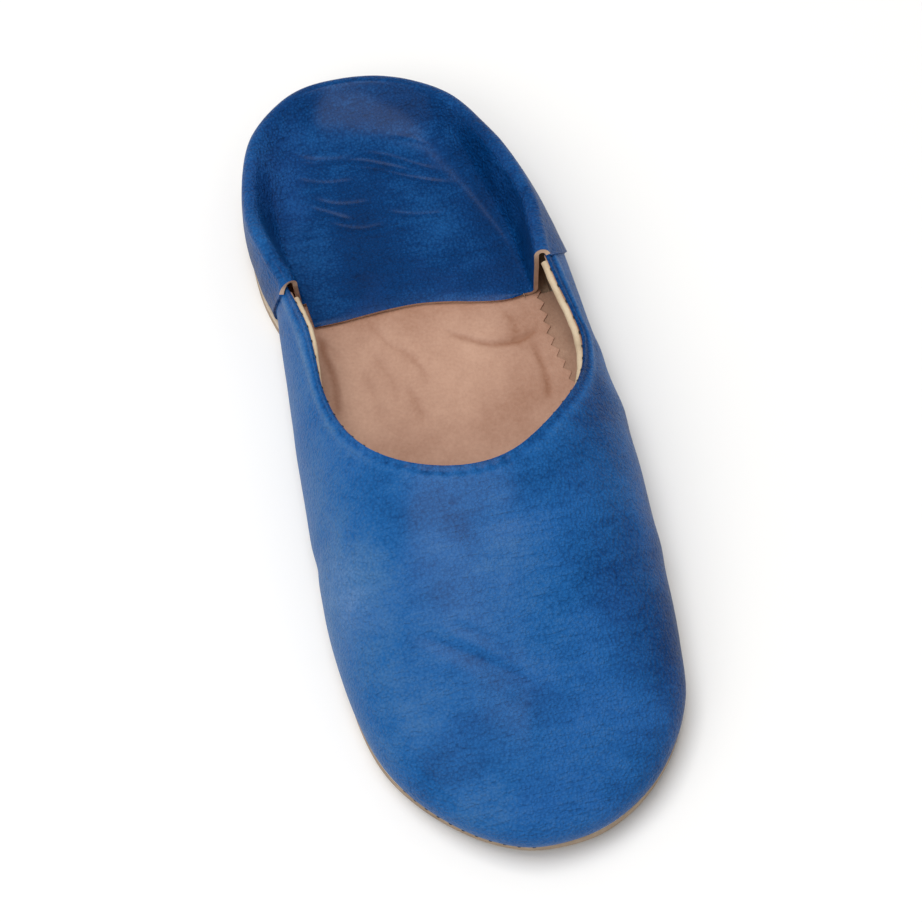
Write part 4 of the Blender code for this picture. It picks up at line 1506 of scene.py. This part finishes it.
@dataclass
class Studio:
    """Pale floor, soft light and the camera at the photo's angle, turned in degrees."""

    aim: tuple[float, float, float] = (-0.0012, -0.0109, 0.020)
    azimuth: float = -8.14
    elevation: float = 63.9
    distance: float = 1.289
    roll: float = 5.09
    lens: float = 160.9
    world_light: float = 0.55

    def build(self) -> None:
        """Make the camera, the lights and the floor."""
        self._camera()
        self._lights()
        self._floor()

    def _camera(self) -> None:
        """Camera with the photo's perspective and tilt."""
        turn, rise = math.radians(self.azimuth), math.radians(self.elevation)
        away = Vector((math.sin(turn) * math.cos(rise), -math.cos(turn) * math.cos(rise),
                       math.sin(rise)))
        right = away.cross(Vector((0.0, 0.0, 1.0))).normalized() * -1.0
        up = away.cross(right)
        lean = math.radians(self.roll)
        leaned_up = up * math.cos(lean) + right * math.sin(lean)
        leaned_right = right * math.cos(lean) - up * math.sin(lean)
        camera = bpy.data.objects.new("camera", bpy.data.cameras.new("camera"))
        basis = Matrix((leaned_right, leaned_up, away)).transposed().to_4x4()
        camera.matrix_world = Matrix.Translation(Vector(self.aim) + away * self.distance) @ basis
        camera.data.lens = self.lens
        camera.data.sensor_width = 36.0
        bpy.context.scene.collection.objects.link(camera)
        bpy.context.scene.camera = camera

    def _lights(self) -> None:
        """Broad key light from the heel's lateral side, and an even fill."""
        scene = bpy.context.scene
        scene.view_settings.view_transform = "Standard"
        world = bpy.data.worlds.new("studio")
        world.use_nodes = True
        world.node_tree.nodes["Background"].inputs["Color"].default_value = linear("ffffff")
        world.node_tree.nodes["Background"].inputs["Strength"].default_value = self.world_light
        scene.world = world
        for name, place, size, power in (
            ("key", (-0.22, 0.10, 1.60), 0.9, 15.0),
            ("fill", (-0.9, -0.5, 1.1), 0.9, 4.0),
        ):
            deselect()
            bpy.ops.object.light_add(type="AREA", location=place)
            light = bpy.context.object
            light.name = name
            light.data.size = size
            light.data.energy = power
            aim = Vector(self.aim) - Vector(place)
            light.rotation_euler = aim.to_track_quat("-Z", "Y").to_euler()

    def _floor(self) -> None:
        """Plain pale floor."""
        deselect()
        bpy.ops.mesh.primitive_plane_add(size=6.0, location=(0.0, 0.0, 0.0))
        floor = bpy.context.object
        floor.name = "studio_floor"
        floor.data.materials.append(StudioFloor().material())


# The creases, and the patches of dye and of painted light and shade, in millimetres from the middle
# of the slipper
SOCK_WEAR_AND_PAINTED_LIGHT = WearAndPaintedLight(creases=(
    Crease(((3.3, 42.5), (8.4, 38.6), (16.8, 33.7), (22.9, 32.4), (28.6, 32.7), (36.1, 36.3)),
           0.50, 1.5),
    Crease(((31.4, 32.1), (32.5, 21.6), (32.8, 16.1), (31.0, 7.9)), 0.40, 1.6),
    Crease(((-34.9, 52.4), (-34.6, 42.8), (-33.6, 35.8), (-33.4, 30.7), (-34.2, 22.7),
            (-34.7, 15.7)), 0.65, 1.7),
    Crease(((-18.9, 51.3), (-12.9, 39.8), (-9.2, 36.4), (-5.1, 28.7), (-4.8, 20.7)), 0.26, 1.8),
    Crease(((-11.5, 25.6), (-9.4, 17.1), (-9.2, 9.1)), 0.22, 1.7),
    Crease(((-35.0, 48.7), (-29.3, 38.0)), 0.26, 1.6),
    Crease(((24.0, 46.0), (27.0, 38.0), (26.0, 30.0)), 0.20, 1.8),
    Crease(((-20.0, 40.0), (-16.0, 30.0), (-15.0, 18.0)), 0.16, 1.6),
    Crease(((-25.0, 36.0), (-22.0, 24.0), (-22.0, 12.0)), 0.14, 1.6),
    Crease(((-26.0, 56.0), (-16.0, 53.0), (-4.0, 54.0)), 0.20, 1.8),
), patches=(
    # All these patches are painted light: lighter on the lateral side and in the middle, painted
    # shade on the medial side and a painted shadow along the flap's free edge.
    Patch(-31.0, 30.0, 8.0, 26.0, 0.20), Patch(30.0, 34.0, 9.0, 8.0, -0.12),
    Patch(0.0, 50.0, 26.0, 5.0, -0.12), Patch(-4.0, 8.0, 18.0, 12.0, 0.10),
    Patch(2.0, 34.0, 12.0, 8.0, 0.06), Patch(28.0, 12.0, 9.0, 12.0, -0.08),
))
VAMP_WEAR_AND_PAINTED_LIGHT = WearAndPaintedLight(creases=(
    Crease(((8.5, -34.8), (14.5, -34.0), (21.4, -32.1), (29.9, -29.1), (39.0, -24.9)), 0.22, 1.3),
    Crease(((11.0, -37.2), (22.0, -34.7), (31.0, -31.4), (39.5, -27.2)), 0.18, 1.2),
    Crease(((-34.4, -68.6), (-22.4, -76.6), (-12.6, -83.8), (-3.5, -91.1), (5.5, -98.4),
            (22.9, -110.4)), 0.40, 3.6),
    Crease(((-20.0, -71.0), (-8.0, -79.0), (4.0, -88.0)), 0.22, 2.4),
    Crease(((-8.0, -95.0), (4.0, -104.0), (14.0, -111.0)), 0.20, 2.4),
    Crease(((24.0, -56.0), (34.0, -52.0), (44.0, -46.0)), 0.22, 2.2),
    Crease(((26.0, -62.0), (36.0, -58.0), (47.0, -52.0)), 0.20, 2.2),
    Crease(((20.0, -70.0), (32.0, -66.0), (46.0, -61.0)), 0.16, 2.2),
    Crease(((-52.0, -60.0), (-42.0, -62.0), (-34.0, -60.0)), 0.18, 2.4),
    Crease(((-44.0, -35.0), (-38.4, -37.0)), 0.35, 1.4),
    Crease(((-51.4, -35.5), (-46.0, -39.4)), 0.35, 1.6),
    Crease(((-18.0, -45.0), (2.0, -47.0), (20.0, -44.0)), 0.22, 5.0),
    Crease(((60.0, 15.0), (42.0, 20.0)), -0.6, 7.0),
    Crease(((60.0, -6.0), (44.0, -1.0)), -0.6, 8.0),
    Crease(((62.0, -52.0), (42.0, -49.0)), -0.5, 9.0),
    Crease(((-60.0, -34.0), (-44.0, -30.0)), 0.6, 6.0),
), patches=(
    # Painted light: the lighter patches down the lateral side and at the lateral toe; painted
    # shade: the darker ones down the medial side. The others are dye and a smudge.
    Patch(-47.0, -48.0, 14.0, 34.0, 0.26), Patch(-40.0, -96.0, 16.0, 20.0, 0.12),
    Patch(-46.0, 20.0, 9.0, 26.0, 0.09), Patch(44.0, -74.0, 10.0, 32.0, -0.12),
    Patch(27.0, -72.0, 14.0, 30.0, -0.05), Patch(-4.0, -38.0, 30.0, 9.0, -0.05),
    Patch(-24.0, -32.0, 14.0, 12.0, -0.04), Patch(-12.0, -76.0, 16.0, 22.0, 0.05),
    Patch(-6.0, -104.0, 22.0, 9.0, -0.07), Patch(-8.0, -128.0, 30.0, 8.0, 0.04),
    Patch(10.0, -60.0, 10.0, 8.0, 0.05), Patch(45.0, -8.0, 9.0, 30.0, -0.16),
    Patch(8.0, -92.0, 12.0, 5.0, 0.06, turn=-38.0),
    Patch(-27.0, -113.0, 12.0, 5.0, -0.09, turn=-25.0),
    Patch(-22.0, -39.0, 9.0, 7.0, -0.03), Patch(-7.0, -48.0, 4.0, 6.0, -0.08),
    Patch(22.0, -48.0, 10.0, 7.0, 0.07), Patch(-20.0, -62.0, 5.0, 12.0, -0.08, turn=30.0),
    Patch(-34.0, -80.0, 6.0, 9.0, -0.07), Patch(28.0, -104.0, 8.0, 8.0, 0.06),
))
FLAP_WEAR_AND_PAINTED_LIGHT = WearAndPaintedLight(creases=(
    Crease(((-40.0, 118.4), (-33.0, 116.6), (-26.7, 113.1), (-16.7, 110.6), (-6.9, 110.3)),
           0.22, 1.3),
    Crease(((-37.4, 115.0), (-20.9, 109.7), (-9.6, 108.2), (-0.7, 104.2), (11.6, 97.5)), 0.30, 1.3),
    Crease(((-14.9, 106.6), (-3.9, 103.4), (3.2, 99.4), (12.5, 94.9), (22.0, 91.5)), 0.28, 1.3),
    Crease(((-11.0, 112.0), (-0.3, 108.0), (8.3, 102.5), (19.0, 96.0)), 0.22, 1.3),
    Crease(((-28.8, 98.6), (-18.6, 93.4), (-6.5, 92.1)), 0.26, 1.3),
    Crease(((-29.8, 95.3), (-22.4, 90.9), (-14.6, 86.0)), 0.28, 1.3),
    Crease(((-33.0, 107.0), (-22.0, 102.4), (-10.0, 101.0)), 0.26, 1.3),
    Crease(((-25.0, 88.0), (-14.0, 83.0), (-4.0, 83.0)), 0.22, 1.3),
    Crease(((-6.0, 88.0), (4.0, 84.0), (16.0, 82.0)), 0.20, 1.3),
    Crease(((2.0, 116.0), (12.0, 111.0), (20.0, 104.0)), 0.22, 1.4),
    Crease(((-40.2, 112.8), (-40.6, 102.5), (-39.2, 92.4), (-37.0, 80.3)), 0.20, 6.0),
), patches=(
    # Painted highlight: the lighter patch on the lateral roll; painted shade: the two darker
    # patches in the medial valley. The others are dye.
    Patch(-19.0, 82.0, 13.0, 19.0, -0.10), Patch(-12.0, 62.0, 10.0, 10.0, -0.08),
    Patch(10.0, 78.0, 13.0, 22.0, 0.07), Patch(2.0, 113.0, 26.0, 6.0, 0.09, turn=-8.0),
    Patch(-34.0, 98.0, 5.0, 14.0, 0.07), Patch(28.0, 100.0, 9.0, 16.0, -0.10, turn=20.0),
    Patch(30.0, 74.0, 7.0, 18.0, -0.10), Patch(24.0, 58.0, 14.0, 7.0, -0.06),
    Patch(-33.0, 118.0, 9.0, 9.0, 0.05), Patch(10.0, 122.0, 14.0, 4.0, -0.05),
))


def main() -> None:
    """Build the studio and the slipper."""
    logging.basicConfig(level=logging.INFO, format="%(name)s: %(message)s")
    Studio().build()
    form = SlipperForm()
    leathers = Leathers()
    Floor(form, leathers, SOCK_WEAR_AND_PAINTED_LIGHT).build()
    vamp = Vamp(form, leathers, VAMP_WEAR_AND_PAINTED_LIGHT)
    vamp.build()
    BackQuarter(form, leathers, FLAP_WEAR_AND_PAINTED_LIGHT).build()
    Stitching(form, leathers, vamp).build()


if __name__ == "__main__":
    main()
